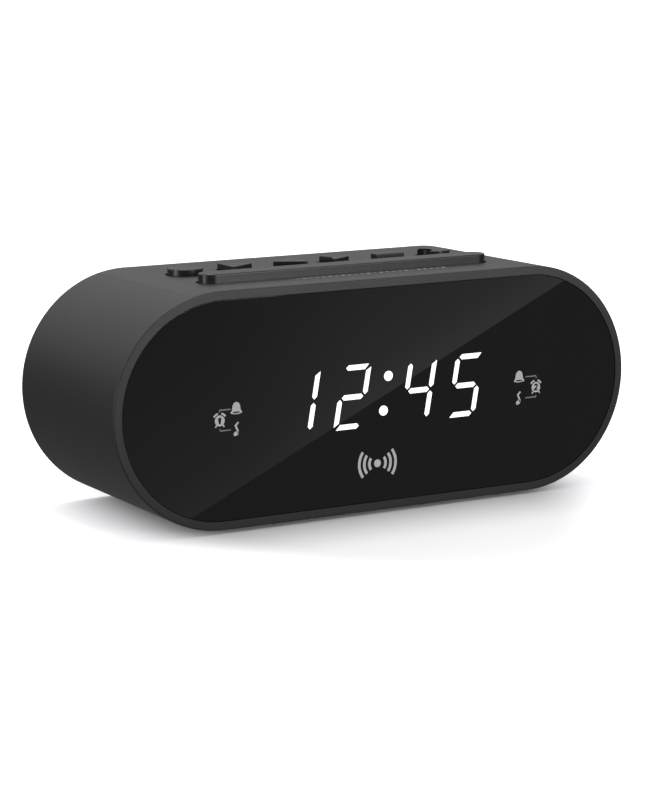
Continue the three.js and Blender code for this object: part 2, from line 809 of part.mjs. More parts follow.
function tunerCan() {
  const can = block(16, 36, mainFaceY, mainFaceY + 4, midZ - 16, mainBoardTopZ - 11.4);
  const vent = rod(0.9, mainFaceY + 3.4, mainFaceY + 5, 12);
  const vents = [20, 26, 32].map((x) => vent.translate([x, 0, midZ - 7]));
  return cut(can, ...vents);
}

// Stacked iron plates with two windows for the coil.
const transformer = {
  fromX: -58,
  toX: -30,
  fromY: mainFaceY + 3,
  toY: mainFaceY + 17,
  fromZ: floorZ + 14.8,
  toZ: keyBoardTopZ - 8,
};
function transformerCore() {
  const { fromX, toX, fromY, toY, fromZ, toZ } = transformer;
  const middle = (fromX + toX) / 2;
  const core = block(fromX, toX, fromY, toY, fromZ, toZ);
  const windows = [[fromX + 4, middle - 4], [middle + 4, toX - 4]].map(([left, right]) =>
    block(left, right, fromY - 1, toY + 1, fromZ + 4, toZ - 4));
  return cut(core, ...windows);
}

function transformerCoil() {
  const { fromX, toX, fromY, toY, fromZ, toZ } = transformer;
  const middle = (fromX + toX) / 2;
  const coil = block(fromX + 4.3, toX - 4.3, fromY - 2.8, toY + 3, fromZ + 4.3, toZ - 4.3);
  return coil.subtract(block(middle - 4.3, middle + 4.3, fromY - 0.3, toY + 0.3, fromZ, toZ));
}

const capacitor = () => turned([
  [0, mainFaceY],
  [5, mainFaceY],
  [5, mainFaceY + 15],
  [4.4, mainFaceY + 15.6],
  [0, mainFaceY + 15.6],
], 24).translate([-17, 0, midZ + 5]);

// A thin strip that follows a path in Y and Z, from fromX to toX wide.
function strip(path, thickness, fromX, toX) {
  const side = (offset) => path.map(([y, z], i) => {
    const [uy, uz] = towards(path[Math.max(i - 1, 0)], path[Math.min(i + 1, path.length - 1)]);
    return [y + uz * offset, z - uy * offset];
  });
  return alongX([...side(thickness / 2), ...side(-thickness / 2).reverse()], fromX, toX);
}

// A loop hanging between the two upright boards.
function displayRibbon() {
  const middleY = (displayBoardY + boardThickness + mainBoardY) / 2;
  return strip(arc(middleY, midZ - 9, boardSpacing / 2 - 0.625, 180, 360, 10), ribbonThickness, 20, 34);
}

const keyRibbon = () => strip([
  [mainFaceY + 3.6, keyBoardTopZ - boardThickness - 0.2],
  [mainFaceY + 3.2, keyBoardTopZ - boardThickness - 2],
  [mainFaceY + 1, mainBoardTopZ - 1],
  [mainFaceY + 0.3, mainBoardTopZ - 4],
], ribbonThickness, 12, 26);

function speakerWires() {
  const path = new THREE.CatmullRomCurve3([
    new THREE.Vector3(speakerX - 5, basketY - magnetDepth - 1.6, midZ + 4),
    new THREE.Vector3(speakerX - 9, basketY - magnetDepth - 3, midZ + 8),
    new THREE.Vector3(speakerX - 19, mainFaceY + 6, mainBoardTopZ - 5),
    new THREE.Vector3(speakerX - 30, mainFaceY + 1.6, mainBoardTopZ - 7.4),
  ]);
  const corners = [[-0.6, -1.2], [0.6, -1.2], [0.6, 1.2], [-0.6, 1.2]];
  const section = new THREE.Shape(corners.map(([x, y]) => new THREE.Vector2(x, y)));
  return solid(new THREE.ExtrudeGeometry(section, { steps: 18, extrudePath: path, bevelEnabled: false }));
}

// ---------- the loudspeaker, on the inside of the rear cover ----------
function speakerFrame() {
  const profile = [
    [6.5, basketY],
    [magnetRadius, basketY],
    [speakerHole + 0.8, rimY - 1.6],
    [speakerRadius, rimY - 1],
    [speakerRadius, rimY],
    [speakerHole, rimY],
    [magnetRadius - 0.6, basketY + 0.9],
    [6.5, basketY + 0.9],
    [6.5, basketY],
  ];
  return turned(profile, speakerSides).translate([speakerX, 0, midZ]);
}

function speakerCone() {
  const edge = speakerHole - 0.9;
  const profile = [
    [0, basketY + 4.4],
    [4, basketY + 3.4],
    [edge - 2, rimY - 0.9],
    [edge - 0.2, rimY - 1.1],
    [edge - 0.2, rimY - 0.7],
    [edge - 2, rimY - 0.4],
    [5, basketY + 4.4],
    [3, basketY + 5.6],
    [0, basketY + 6],
  ];
  return turned(profile, speakerSides).translate([speakerX, 0, midZ]);
}

const speakerMagnet = () => turned([
  [0, basketY - magnetDepth],
  [magnetRadius - 1, basketY - magnetDepth],
  [magnetRadius, basketY - magnetDepth + 1],
  [magnetRadius, basketY - fixedGap],
  [0, basketY - fixedGap],
], speakerSides).translate([speakerX, 0, midZ]);

const speakerGasket = () => turned([
  [speakerHole, rimY + stackGap],
  [speakerRadius, rimY + stackGap],
  [speakerRadius, rearCoverFrontY - stackGap],
  [speakerHole, rearCoverFrontY - stackGap],
  [speakerHole, rimY + stackGap],
], speakerSides).translate([speakerX, 0, midZ]);

// ---------- back-up cells ----------
function batteryTray() {
  const half = trayHalfLength;
  const top = floorZ + fixedGap + trayHeight;
  const outer = block(
    -half - trayWall, half + trayWall,
    trayFrontY - trayWall, trayFrontY + trayWidth + trayWall,
    floorZ + fixedGap, top + trayWall,
  );
  const hollow = block(-half, half, trayFrontY, trayFrontY + trayWidth, floorZ - 1, top);
  const middleY = trayFrontY + trayWidth / 2;
  const divider = block(6 - half, half - 6, middleY - 0.15, middleY + 0.15, top - 2, top + 0.5);
  return join(cut(outer, hollow), divider);
}

const cellMiddleZ = floorZ + fixedGap + cellRadius + 0.3;
const cellRowY = [trayFrontY + cellRadius + 0.2, trayFrontY + trayWidth - cellRadius - 0.2];
const springX = trayHalfLength - fixedGap - contactPlate;

// A cell lying along X with its raised end towards direction.
function cell(direction, y) {
  const shoulder = cellLength - cellNub;
  const profile = [
    [0, 0],
    [cellRadius, 0],
    [cellRadius, shoulder],
    [2, shoulder],
    [1.9, cellLength],
    [0, cellLength],
  ];
  const lying = lengthways(turned(profile, 24)).translate([-springX + springLength + 0.2, 0, 0]);
  const placed = direction > 0 ? lying : lying.rotate([0, 0, 180]);
  return placed.translate([0, y, cellMiddleZ]);
}

function contactAt(side, y, sprung) {
  const inside = side > 0 ? [springX, springX + contactPlate] : [-springX - contactPlate, -springX];
  const half = 0.8 * cellRadius;
  const plate = block(...inside, y - half, y + half, cellMiddleZ - half, cellMiddleZ + half);
  if (!sprung) return plate;
  const coil = [
    [0, -0.2],
    [3.6, -0.2],
    [3.6, 0.6],
    [2.8, 0.9],
    [3.1, 1.5],
    [2.3, 1.9],
    [2.6, 2.5],
    [1.8, springLength],
    [0, springLength],
  ];
  const spring = lengthways(turned(coil, 14)).rotate([0, 0, side > 0 ? 180 : 0]);
  return join(plate, spring.translate([side > 0 ? springX : -springX, y, cellMiddleZ]));
}

// The strip at the right joins the front cell's raised end to the rear cell's spring.
function linkContact() {
  const bridge = block(
    springX, springX + contactPlate,
    cellRowY[0], cellRowY[1],
    cellMiddleZ - 2, cellMiddleZ + 2,
  );
  return join(contactAt(1, cellRowY[0], false), contactAt(1, cellRowY[1], true), bridge);
}

// ---------- keys and switches ----------
function keyCap({ outline, x }) {
  const cap = alongZ(outline(0), flangeBottomZ + 0.2, topZ + keyHeight, keyEdge);
  const flange = alongZ(outline(keyGap + flangeReach), flangeBottomZ, flangeTopZ);
  const post = upright(rod(postRadius, switchTopZ + keyTravel, flangeBottomZ + 0.5, 16));
  return join(cap, flange, post.translate([x, keyRowY, 0]));
}

function snoozeBar() {
  const cap = alongZ(snoozeOutline(0), flangeBottomZ + 0.2, topZ + snoozeHeight, keyEdge);
  const flange = alongZ(snoozeOutline(keyGap + flangeReach), flangeBottomZ, flangeTopZ);
  const post = upright(rod(postRadius + 0.4, switchTopZ + snoozeTravel, flangeBottomZ + 0.5, 16));
  const guide = upright(rod(guideRadius, keyBoardTopZ + snoozeTravel + 1, flangeBottomZ + 0.5, 12));
  const guides = [-0.4, 0.4].map((share) =>
    guide.translate([snoozeX + share * (snoozeRight - snoozeLeft), snoozeRowY, 0]));
  return join(cap, flange, post.translate([snoozeX, snoozeRowY, 0]), ...guides);
}

function keyBoard() {
  const board = block(
    -keyBoardHalfWidth, keyBoardHalfWidth,
    keyBoardFrontY, keyBoardRearY,
    keyBoardTopZ - boardThickness, keyBoardTopZ,
  );
  const hole = upright(rod(screwPilot, keyBoardTopZ - 4, keyBoardTopZ + 1, 12));
  return cut(board, ...keyBoardPosts.map((x) => hole.translate([x, keyBoardPostY, 0])));
}

function tactSwitch() {
  const half = switchSize / 2;
  const body = block(-half, half, -half, half, stackGap, switchBodyHeight);
  const top = switchBodyHeight + switchPlungerHeight;
  return join(body, upright(rod(switchPlungerRadius, switchBodyHeight - 0.5, top, 16)));
}

// ---------- fasteners ----------
// A pan-head screw along Y, its head outwards at y = 0 and its tip at y = -length.
function screw(length) {
  const tip = 0.8;
  const top = screwHeadHeight - stackGap;
  const profile = [
    [0, -length],
    [screwShaft, -length + tip],
    [screwShaft, 0],
    [screwHead, 0],
    [screwHead, top - 0.3],
    [screwHead - 0.5, top],
    [0, top],
  ];
  const recess = [[1.6, 0.35], [0.35, 1.6]].map(([x, z]) => block(-x, x, top - 0.9, top + 1, -z, z));
  return cut(turned(profile, 10), ...recess);
}

// ---------- assembly ----------
const radio = new THREE.Group();

function add(name, shape, material, position = [0, 0, 0], rotation = [0, 0, 0]) {
  const mesh = new THREE.Mesh(geometryOf(shape), material());
  mesh.name = name;
  mesh.position.set(...position);
  mesh.rotation.set(...rotation);
  radio.add(mesh);
}

add('case_shell', caseShell(), casePlastic);
add('top_panel', topPanel(), topPlastic);
add('rear_cover', rearCover(), casePlastic);
add('battery_door', batteryDoor(), casePlastic);

add('front_lens', lens(), lensBlack);
add('display_mask', displayMask(), blackSheet);
add('segment_diffuser', segmentDiffuser(), diffuserWhite);
add('light_box', lightBox(), lightBoxWhite);
add('display_board', displayBoard(), boardGreen);
add('display_driver_chip', driverChip(), chipBlack);
add('display_ribbon', displayRibbon(), ribbonGrey);

add('main_board', mainBoard(), boardGreen);
add('control_chip', controlChip(), chipBlack);
add('tuner_can', tunerCan(), steel);
add('transformer_core', transformerCore(), ferrite);
add('transformer_coil', transformerCoil(), copperTape);
add('smoothing_capacitor', capacitor(), chipBlack);

add('speaker_frame', speakerFrame(), steel);
add('speaker_cone', speakerCone(), coneBlack);
add('speaker_magnet', speakerMagnet(), ferrite);
add('speaker_gasket', speakerGasket(), foamBlack);
add('speaker_wires', speakerWires(), wireRed);

add('battery_tray', batteryTray(), casePlastic);
add('battery_cell_front', cell(1, cellRowY[0]), cellJacket);
add('battery_cell_rear', cell(-1, cellRowY[1]), cellJacket);
add('battery_contact_front', contactAt(-1, cellRowY[0], true), nickel);
add('battery_contact_rear', contactAt(-1, cellRowY[1], false), nickel);
add('battery_link_contact', linkContact(), nickel);

const cableGland = bush(glandBore, glandNeck, glandFlange, 0.9, 3);
const aerialGland = bush(aerialBore, aerialNeck, aerialFlange, 0.7, 1);
add('cable_gland', cableGland, rubberBlack, [glandX, 0, glandZ]);
add('aerial_gland', aerialGland, rubberBlack, [aerialX, 0, glandZ]);

add('snooze_bar', snoozeBar(), keyPlastic);
for (const key of keys) add(key.name, keyCap(key), keyPlastic);

add('key_board', keyBoard(), boardGreen);
add('key_ribbon', keyRibbon(), ribbonGrey);
add('snooze_switch', tactSwitch(), chipBlack, [snoozeX, snoozeRowY, keyBoardTopZ]);
for (const { name, x } of keys) {
  add(name.replace('button', 'switch'), tactSwitch(), chipBlack, [x, keyRowY, keyBoardTopZ]);
}
keyBoardPosts.forEach((x, i) => {
  const place = [x, keyBoardPostY, keyBoardTopZ - boardThickness - stackGap];
  add(`key_board_screw_${i + 1}`, screw(boardScrewLength), steel, place, [-Math.PI / 2, 0, 0]);
});

for (const [side, label] of [[-1, 'left'], [1, 'right']]) {
  const displayPlace = [side * displayScrewX, displayBoardY + boardThickness + stackGap, midZ];
  const mainPlace = [side * mainScrewX, mainFaceY, midZ];
  add(`display_board_screw_${label}`, screw(boardScrewLength), steel, displayPlace);
  add(`main_board_screw_${label}`, screw(boardScrewLength), steel, mainPlace);
}
rearScrewPlaces().forEach(([x, z], i) => {
  const place = [x, rearCoverBackY - screwHeadHeight + stackGap, z];
  add(`rear_screw_${i + 1}`, screw(rearScrewLength), steel, place);
});
footPlaces.forEach(([x, y], i) => add(`foot_${i + 1}`, foot(), rubberBlack, [x, y, 0]));

export default radio;
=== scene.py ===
# The look of a bedside clock radio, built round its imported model. Metres; +Z up, the display faces -Y.
import json
import math

import bmesh
import bpy
from mathutils import Matrix, Vector


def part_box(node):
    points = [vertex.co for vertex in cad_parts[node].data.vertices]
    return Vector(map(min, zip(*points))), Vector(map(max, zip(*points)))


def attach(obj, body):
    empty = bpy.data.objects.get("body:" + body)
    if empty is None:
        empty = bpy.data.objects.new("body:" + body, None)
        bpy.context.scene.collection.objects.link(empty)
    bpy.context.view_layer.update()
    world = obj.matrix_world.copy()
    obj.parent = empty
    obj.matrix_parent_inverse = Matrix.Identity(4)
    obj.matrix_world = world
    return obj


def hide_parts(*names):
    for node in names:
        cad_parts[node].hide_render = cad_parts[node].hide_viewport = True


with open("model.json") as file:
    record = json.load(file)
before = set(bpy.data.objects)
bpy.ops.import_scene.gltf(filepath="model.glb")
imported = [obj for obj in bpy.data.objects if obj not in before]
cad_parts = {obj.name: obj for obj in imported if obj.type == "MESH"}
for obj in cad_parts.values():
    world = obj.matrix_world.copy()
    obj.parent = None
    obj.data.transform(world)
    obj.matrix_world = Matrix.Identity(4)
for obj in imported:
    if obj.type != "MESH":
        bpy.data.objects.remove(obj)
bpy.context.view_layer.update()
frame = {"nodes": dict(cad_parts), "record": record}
MM = 0.001

# ---------- sizes taken from the frame ----------
CASE_LOW, CASE_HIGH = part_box("case_shell")
PANEL_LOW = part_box("top_panel")[0]
LENS_LOW, LENS_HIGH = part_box("front_lens")
COVER_LOW, COVER_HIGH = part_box("rear_cover")
DOOR_LOW, DOOR_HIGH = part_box("battery_door")
FRONT_Y = CASE_LOW.y
REAR_Y = CASE_HIGH.y
END_RADIUS = (CASE_HIGH.z - CASE_LOW.z) / 2
END_X = CASE_HIGH.x - END_RADIUS
MID_Z = (CASE_HIGH.z + CASE_LOW.z) / 2
TOP_Z = CASE_HIGH.z
LENS_RADIUS = (LENS_HIGH.z - LENS_LOW.z) / 2
COVER_RADIUS = (COVER_HIGH.z - COVER_LOW.z) / 2

# ---------- sizes of the visible detail ----------
WALL = 2.2 * MM
EDGE_ROUND = 0.5 * MM
RIM_DEPTH = 1.2 * MM
RIM_SLOPE = 0.12 * MM
CREST_INSET = 2.6 * MM
RIM_ROUND = 0.35 * MM
PARTING_DEGREES = 15.8
PARTING_GAP = 0.2 * MM
PARTING_GROOVE = 0.07 * MM
PANEL_DEPTH = 12 * MM
FINE_STEPS = 72
KEY_GAP = 0.6 * MM
KEY_EDGE = 0.3 * MM
KEY_ROW_Y = 6.2 * MM
KEY_CORNER = 0.45 * MM
SNOOZE_LEFT = -44.8 * MM
SNOOZE_RIGHT = 42.6 * MM
SNOOZE_Y = -12 * MM
SNOOZE_DEPTH = 7.1 * MM
CAP_BASE = TOP_Z - WALL - 1.2 * MM
FLANGE_REACH = 0.3 * MM
SNOOZE_TRAVEL = 1.0 * MM
GUIDE_SHARE = 0.4
PRINT_RISE = 0.03 * MM
SHARP = 1e-6
LENS_CLEARANCE = 0.15 * MM
LEDGE_WIDTH = 2.15 * MM
FOOT_CLEARANCE = 0.2 * MM
FINE_EASE = 0.06 * MM
TONGUE_REACH = 1.2 * MM
DOOR_HALF = (DOOR_HIGH.x - DOOR_LOW.x) / 2 - TONGUE_REACH
FEET = ["foot_1", "foot_2", "foot_3", "foot_4"]


# ---------- shader writing ----------
class Wire:
    """A socket that sums are written with: each operator adds the Math node that does it."""

    def __init__(self, graph, socket):
        self.graph = graph
        self.socket = socket

    def maths(self, operation, first, second):
        return self.graph.add("ShaderNodeMath", {"operation": operation}, first, second)

    def __add__(self, other):
        return self.maths("ADD", self, other)

    __radd__ = __add__

    def __sub__(self, other):
        return self.maths("SUBTRACT", self, other)

    def __rsub__(self, other):
        return self.maths("SUBTRACT", other, self)

    def __mul__(self, other):
        return self.maths("MULTIPLY", self, other)

    __rmul__ = __mul__

    def over(self, level, softness):
        """0 below the level and 1 above it, with a soft step between."""
        settings = {"interpolation_type": "SMOOTHSTEP"}
        low, high = level - softness, level + softness
        return self.graph.add("ShaderNodeMapRange", settings, self, low, high, 0.0, 1.0)


class Graph:
    """A node tree, with one method that adds a node and fills in its settings and sockets."""

    def __init__(self, tree):
        self.tree = tree

    def add(self, kind, settings=None, *values, output=0, **named):
        node = self.tree.nodes.new(kind)
        for key, value in (settings or {}).items():
            if key == "stops":
                fill_ramp(node.color_ramp, value)
            else:
                setattr(node, key, value)
        for socket, value in zip(node.inputs, values):
            self.feed(socket, value)
        for name, value in named.items():
            self.feed(node.inputs[name.replace("_", " ")], value)
        return Wire(self, node.outputs[output])

    def feed(self, socket, value):
        if isinstance(value, Wire):
            self.tree.links.new(value.socket, socket)
        else:
            socket.default_value = value

    def place(self):
        return self.add("ShaderNodeTexCoord", output=3)

    def noise(self, scale, detail=2.0, rough=0.5, stretch=None):
        where = self.place()
        if stretch:
            where = self.add("ShaderNodeMapping", Vector=where, Scale=stretch)
        return self.add("ShaderNodeTexNoise", Vector=where, Scale=scale, Detail=detail, Roughness=rough)

    def blend(self, factor, first, second):
        node = self.tree.nodes.new("ShaderNodeMix")
        node.data_type = "RGBA"
        for index, value in ((0, factor), (6, first), (7, second)):
            self.feed(node.inputs[index], value)
        return Wire(self, node.outputs[2])

    def bump(self, height, strength, distance):
        return self.add("ShaderNodeBump", Strength=strength, Distance=distance, Height=height)


def fill_ramp(ramp, stops):
    while len(ramp.elements) < len(stops):
        ramp.elements.new(1.0)
    for element, (place, colour) in zip(ramp.elements, stops):
        element.position = place
        element.color = colour


def grey(level):
    return (level, level, level * 1.02, 1.0)


MATERIALS = {}


def material(name, recipe, **constants):
    """A Principled material: constants go on its sockets, and the recipe returns what varies."""
    made = bpy.data.materials.new(name)
    made.use_nodes = True
    shader = made.node_tree.nodes["Principled BSDF"]
    for key, value in constants.items():
        shader.inputs[key.replace("_", " ")].default_value = value
    graph = Graph(made.node_tree)
    for key, value in recipe(graph).items():
        graph.feed(shader.inputs[key], value)
    MATERIALS[name] = made
    return made


def moulded_plastic(dark, light, rough, grain, depth):
    """Spark-eroded plastic: a fine even grain with slight cloudiness and handling marks."""

    def recipe(graph):
        cloud = graph.noise(38.0, 4.0, 0.6)
        fine = graph.noise(grain, 3.0, 0.65)
        speck = graph.noise(grain * 0.45, 2.0, 0.5)
        return {
            "Base Color": graph.blend(cloud * 0.6 + fine * 0.4, dark, light),
            "Roughness": rough - 0.06 + cloud * 0.08 + fine * 0.06,
            "Normal": graph.bump(fine * 0.6 + speck * 0.4, 0.55, depth),
        }

    return recipe


def polished_black(graph):
    """Polished acrylic: nearly a mirror, with faint wiping marks in its gloss."""
    wipe = graph.noise(30.0, 5.0, 0.6, (1.0, 1.0, 6.0))
    haze = graph.noise(9.0, 3.0, 0.5)
    return {
        "Base Color": graph.blend(haze, grey(0.0138), grey(0.0158)),
        "Roughness": 0.004 + wipe * 0.008,
    }


def lit_white(graph):
    """A lit segment: even white with a trace of the diffuser's grain."""
    grain = graph.noise(900.0, 2.0)
    return {
        "Base Color": graph.blend(grain, (0.75, 0.77, 0.8, 1), (0.9, 0.92, 0.95, 1)),
        "Emission Color": graph.blend(grain, (0.96, 0.98, 1.0, 1), (1.0, 1.0, 1.0, 1)),
    }


def screen_print(low, high):
    def recipe(graph):
        dots = graph.noise(2600.0, 2.0)
        patch = graph.noise(300.0, 2.0)
        return {
            "Base Color": graph.blend(dots * 0.7 + patch * 0.3, low, high),
            "Roughness": 0.45 + dots * 0.2,
        }

    return recipe


def circuit_board(graph):
    """Green solder mask over copper tracks, with bare pads."""
    where = graph.place()
    track = graph.add("ShaderNodeTexBrick", {"offset": 0.37}, Vector=where, Scale=190.0, Mortar_Size=0.12)
    fleck = graph.noise(700.0, 2.0)
    pads = graph.add("ShaderNodeTexVoronoi", Vector=graph.place(), Scale=260.0)
    mask = graph.blend(track, (0.012, 0.1, 0.035, 1), (0.03, 0.2, 0.07, 1))
    pad = 1.0 - pads.over(0.16, 0.03)
    return {
        "Base Color": graph.blend(pad, mask, (0.55, 0.5, 0.4, 1)),
        "Roughness": 0.3 + fleck * 0.2,
        "Normal": graph.bump(pad, 0.4, 0.00005),
    }


def plated_metal(tone, stretch):
    def recipe(graph):
        brush = graph.noise(160.0, 5.0, 0.7, stretch)
        spots = graph.noise(60.0, 3.0)
        dull = tuple(channel * 0.8 for channel in tone[:3]) + (1.0,)
        return {
            "Base Color": graph.blend(brush * 0.6 + spots * 0.4, dull, tone),
            "Roughness": 0.22 + brush * 0.2,
            "Normal": graph.bump(brush, 0.15, 0.00003),
        }

    return recipe


def fibrous(dark, light, scale, depth):
    def recipe(graph):
        fibre = graph.noise(scale, 6.0, 0.75, (1.0, 3.0, 1.0))
        patch = graph.noise(scale * 0.1, 3.0)
        return {
            "Base Color": graph.blend(fibre * 0.7 + patch * 0.3, dark, light),
            "Roughness": 0.75 + fibre * 0.2,
            "Normal": graph.bump(fibre, 0.6, depth),
        }

    return recipe


def striped_jacket(graph):
    """A cell's printed sleeve: a darker body and a coloured band near its raised end."""
    along = graph.add("ShaderNodeSeparateXYZ", Vector=graph.place())
    band = along.over(0.012, 0.0003)
    print_grain = graph.noise(1200.0, 2.0)
    base = graph.blend(band, (0.015, 0.03, 0.05, 1), (0.35, 0.2, 0.05, 1))
    return {
        "Base Color": graph.blend(print_grain * 0.15, base, (0.5, 0.5, 0.5, 1)),
        "Roughness": 0.25 + print_grain * 0.15,
    }


TAPE_DARK = (0.5, 0.32, 0.05, 1)
TAPE_LIGHT = (0.6, 0.42, 0.09, 1)
WIRE_DARK = (0.26, 0.015, 0.015, 1)
WIRE_LIGHT = (0.34, 0.03, 0.03, 1)


def make_materials():
    material("case_plastic", moulded_plastic(grey(0.013), grey(0.018), 0.5, 1900.0, 0.00003))
    material("top_plastic", moulded_plastic(grey(0.010), grey(0.015), 0.46, 1900.0, 0.00003))
    material("key_plastic", moulded_plastic(grey(0.009), grey(0.013), 0.32, 2600.0, 0.000015))
    material("lens_black", polished_black, IOR=1.5)
    material("display_white", lit_white, Emission_Strength=1.0, Roughness=0.4)
    material("print_grey", screen_print(grey(0.52), grey(0.68)))
    material("print_dim", screen_print(grey(0.19), grey(0.26)))
    material("panel_print", screen_print(grey(0.24), grey(0.36)))
    material("mark_print", screen_print(grey(0.06), grey(0.10)))
    material("black_sheet", fibrous(grey(0.008), grey(0.014), 900.0, 0.00002))
    material("light_box_white", moulded_plastic(grey(0.62), grey(0.74), 0.5, 1500.0, 0.00002))
    material("circuit_board", circuit_board)
    material("chip_black", moulded_plastic(grey(0.012), grey(0.02), 0.5, 2200.0, 0.00002))
    material("ribbon_grey", fibrous(grey(0.28), grey(0.4), 500.0, 0.00002))
    material("steel", plated_metal((0.62, 0.63, 0.65, 1), (1.0, 6.0, 1.0)), Metallic=1.0)
    material("nickel", plated_metal((0.72, 0.7, 0.64, 1), (4.0, 1.0, 1.0)), Metallic=1.0)
    material("iron", fibrous(grey(0.03), grey(0.06), 420.0, 0.00004), Metallic=0.3)
    material("coil_tape", moulded_plastic(TAPE_DARK, TAPE_LIGHT, 0.4, 700.0, 0.00002))
    material("cone_paper", fibrous(grey(0.012), grey(0.025), 700.0, 0.00005))
    material("foam", fibrous(grey(0.015), grey(0.03), 1500.0, 0.0001))
    material("wire_red", moulded_plastic(WIRE_DARK, WIRE_LIGHT, 0.45, 1500.0, 0.00001))
    material("cell_jacket", striped_jacket)
    material("rubber", moulded_plastic(grey(0.012), grey(0.02), 0.7, 1600.0, 0.00004))


def dress_frame():
    """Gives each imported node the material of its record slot."""
    for entry in frame["record"]["subparts"]:
        node = frame["nodes"][entry["node"]]
        for slot in node.material_slots:
            slot.material = MATERIALS[entry["material_slot"]]


# ---------- outlines, in metres ----------
def arc(x, y, radius, start, stop, steps):
    turns = [math.radians(start + (stop - start) * i / steps) for i in range(steps + 1)]
    return [(x + radius * math.cos(turn), y + radius * math.sin(turn)) for turn in turns]


def pill(half, radius, x=0.0, y=0.0, steps=FINE_STEPS):
    return arc(x + half, y, radius, -90, 90, steps) + arc(x - half, y, radius, 90, 270, steps)


def case_outline(radius):
    return pill(END_X, radius, 0.0, MID_Z)


def rectangle(left, right, near, far):
    return [(left, near), (right, near), (right, far), (left, far)]


def hole_ring(x, y, radius):
    """A round outline of 48 sides."""
    return arc(x, y, radius, 0, 352.5, 47)


def post_ring(x, y, radius):
    """A round outline of 24 sides, for slim posts and screw holes."""
    return arc(x, y, radius, 0, 345, 23)


def round_node(name, second):
    """The middle of a round node across x and a second axis, given by its number, and its radius."""
    low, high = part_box(name)
    return (low.x + high.x) / 2, (low[second] + high[second]) / 2, (high.x - low.x) / 2


def towards(a, b):
    length = math.hypot(b[0] - a[0], b[1] - a[1])
    return ((b[0] - a[0]) / length, (b[1] - a[1]) / length)


def neighbours(points):
    return zip(points[-1:] + points[:-1], points, points[1:] + points[:1])


def grown(points, distance):
    """Moves every edge of an anticlockwise outline outwards."""
    result = []
    for before, corner, after in neighbours(points):
        ux, uy = towards(before, corner)
        vx, vy = towards(corner, after)
        reach = distance / max(1 + ux * vx + uy * vy, 0.35)
        result.append((corner[0] + (uy + vy) * reach, corner[1] - (ux + vx) * reach))
    return result


def softened(corners, radius, steps=7):
    """Rounds the corners of an anticlockwise outline."""
    points = []
    for before, corner, after in neighbours(corners):
        back, on = towards(corner, before), towards(corner, after)
        turn = back[0] * on[1] - back[1] * on[0]
        half = math.acos(back[0] * on[0] + back[1] * on[1]) / 2
        middle = towards((0, 0), (back[0] + on[0], back[1] + on[1]))
        reach = radius / math.tan(half)
        centre = [corner[i] + middle[i] * radius / math.sin(half) for i in (0, 1)]
        ends = [[corner[i] + side[i] * reach - centre[i] for i in (0, 1)] for side in (back, on)]
        start, stop = [math.degrees(math.atan2(up, across)) for across, up in ends]
        if turn < 0 and stop < start:
            stop += 360
        if turn > 0 and stop > start:
            stop -= 360
        points += arc(centre[0], centre[1], radius, start, stop, steps)
    return points


# ---------- mesh making ----------
def new_piece(name, mesh_maker, finish):
    mesh = bpy.data.meshes.new(name)
    made = bmesh.new()
    mesh_maker(made)
    bmesh.ops.remove_doubles(made, verts=made.verts, dist=1e-7)
    bmesh.ops.recalc_face_normals(made, faces=made.faces)
    made.to_mesh(mesh)
    made.free()
    piece = bpy.data.objects.new(name, mesh)
    bpy.context.scene.collection.objects.link(piece)
    mesh.materials.append(MATERIALS[finish])
    return piece


def loft(made, rings, closed=False):
    """Joins rings of equal length with quads and fills the two ends, or joins last to first."""
    verts = [[made.verts.new(point) for point in ring] for ring in rings]
    count = len(verts[0])
    pairs = list(zip(verts, verts[1:] + ([verts[0]] if closed else [])))
    for low, high in pairs[: len(rings) if closed else len(rings) - 1]:
        for i in range(count):
            made.faces.new((low[i], low[(i + 1) % count], high[(i + 1) % count], high[i]))
    if not closed:
        made.faces.new(verts[0][::-1])
        made.faces.new(verts[-1])


def along_y(points, y):
    return [(x, y, z) for x, z in points]


def along_z(points, z):
    return [(x, y, z) for x, y in points]


def rounded_rings(outline, lay, low, high, round_low, round_high, steps=4):
    """Rings of a plate whose two edges are rounded by the given radii."""
    rings = []
    for i in range(steps + 1):
        turn = math.pi / 2 * i / steps
        inset = round_low * (1 - math.sin(turn))
        rings.append(lay(grown(outline, -inset), low + round_low * (1 - math.cos(turn))))
    for i in range(steps + 1):
        turn = math.pi / 2 * i / steps
        inset = round_high * (1 - math.cos(turn))
        rings.append(lay(grown(outline, -inset), high - round_high * (1 - math.sin(turn))))
    return rings


def plate(outline, lay, low, high, round_low=0.0, round_high=0.0):
    if not round_low and not round_high:
        return lambda made: loft(made, [lay(outline, low), lay(outline, high)])
    rings = rounded_rings(outline, lay, low, high, round_low or SHARP, round_high or SHARP)
    return lambda made: loft(made, rings)


def tool(mesh_maker):
    return new_piece("tool", mesh_maker, "case_plastic")


def carve(piece, operation, *tools):
    """Cuts, joins or keeps a piece with other solids, which are used up."""
    for other in tools:
        change = piece.modifiers.new("carve", "BOOLEAN")
        change.operation = operation
        change.solver = "EXACT"
        change.object = other
        settle(piece)
        bpy.data.objects.remove(other)
    return piece


def settle(piece):
    """Applies a piece's modifiers."""
    bpy.context.view_layer.update()
    evaluated = piece.evaluated_get(bpy.context.evaluated_depsgraph_get())
    mesh = bpy.data.meshes.new_from_object(evaluated)
    old = piece.data
    piece.modifiers.clear()
    piece.data = mesh
    bpy.data.meshes.remove(old)


def ease(piece, width, degrees=35.0):
    """Takes the sharpness off a piece's edges."""
    change = piece.modifiers.new("ease", "BEVEL")
    change.width = width
    change.segments = 2
    change.limit_method = "ANGLE"
    change.angle_limit = math.radians(degrees)
    change.use_clamp_overlap = True
    settle(piece)
    return piece


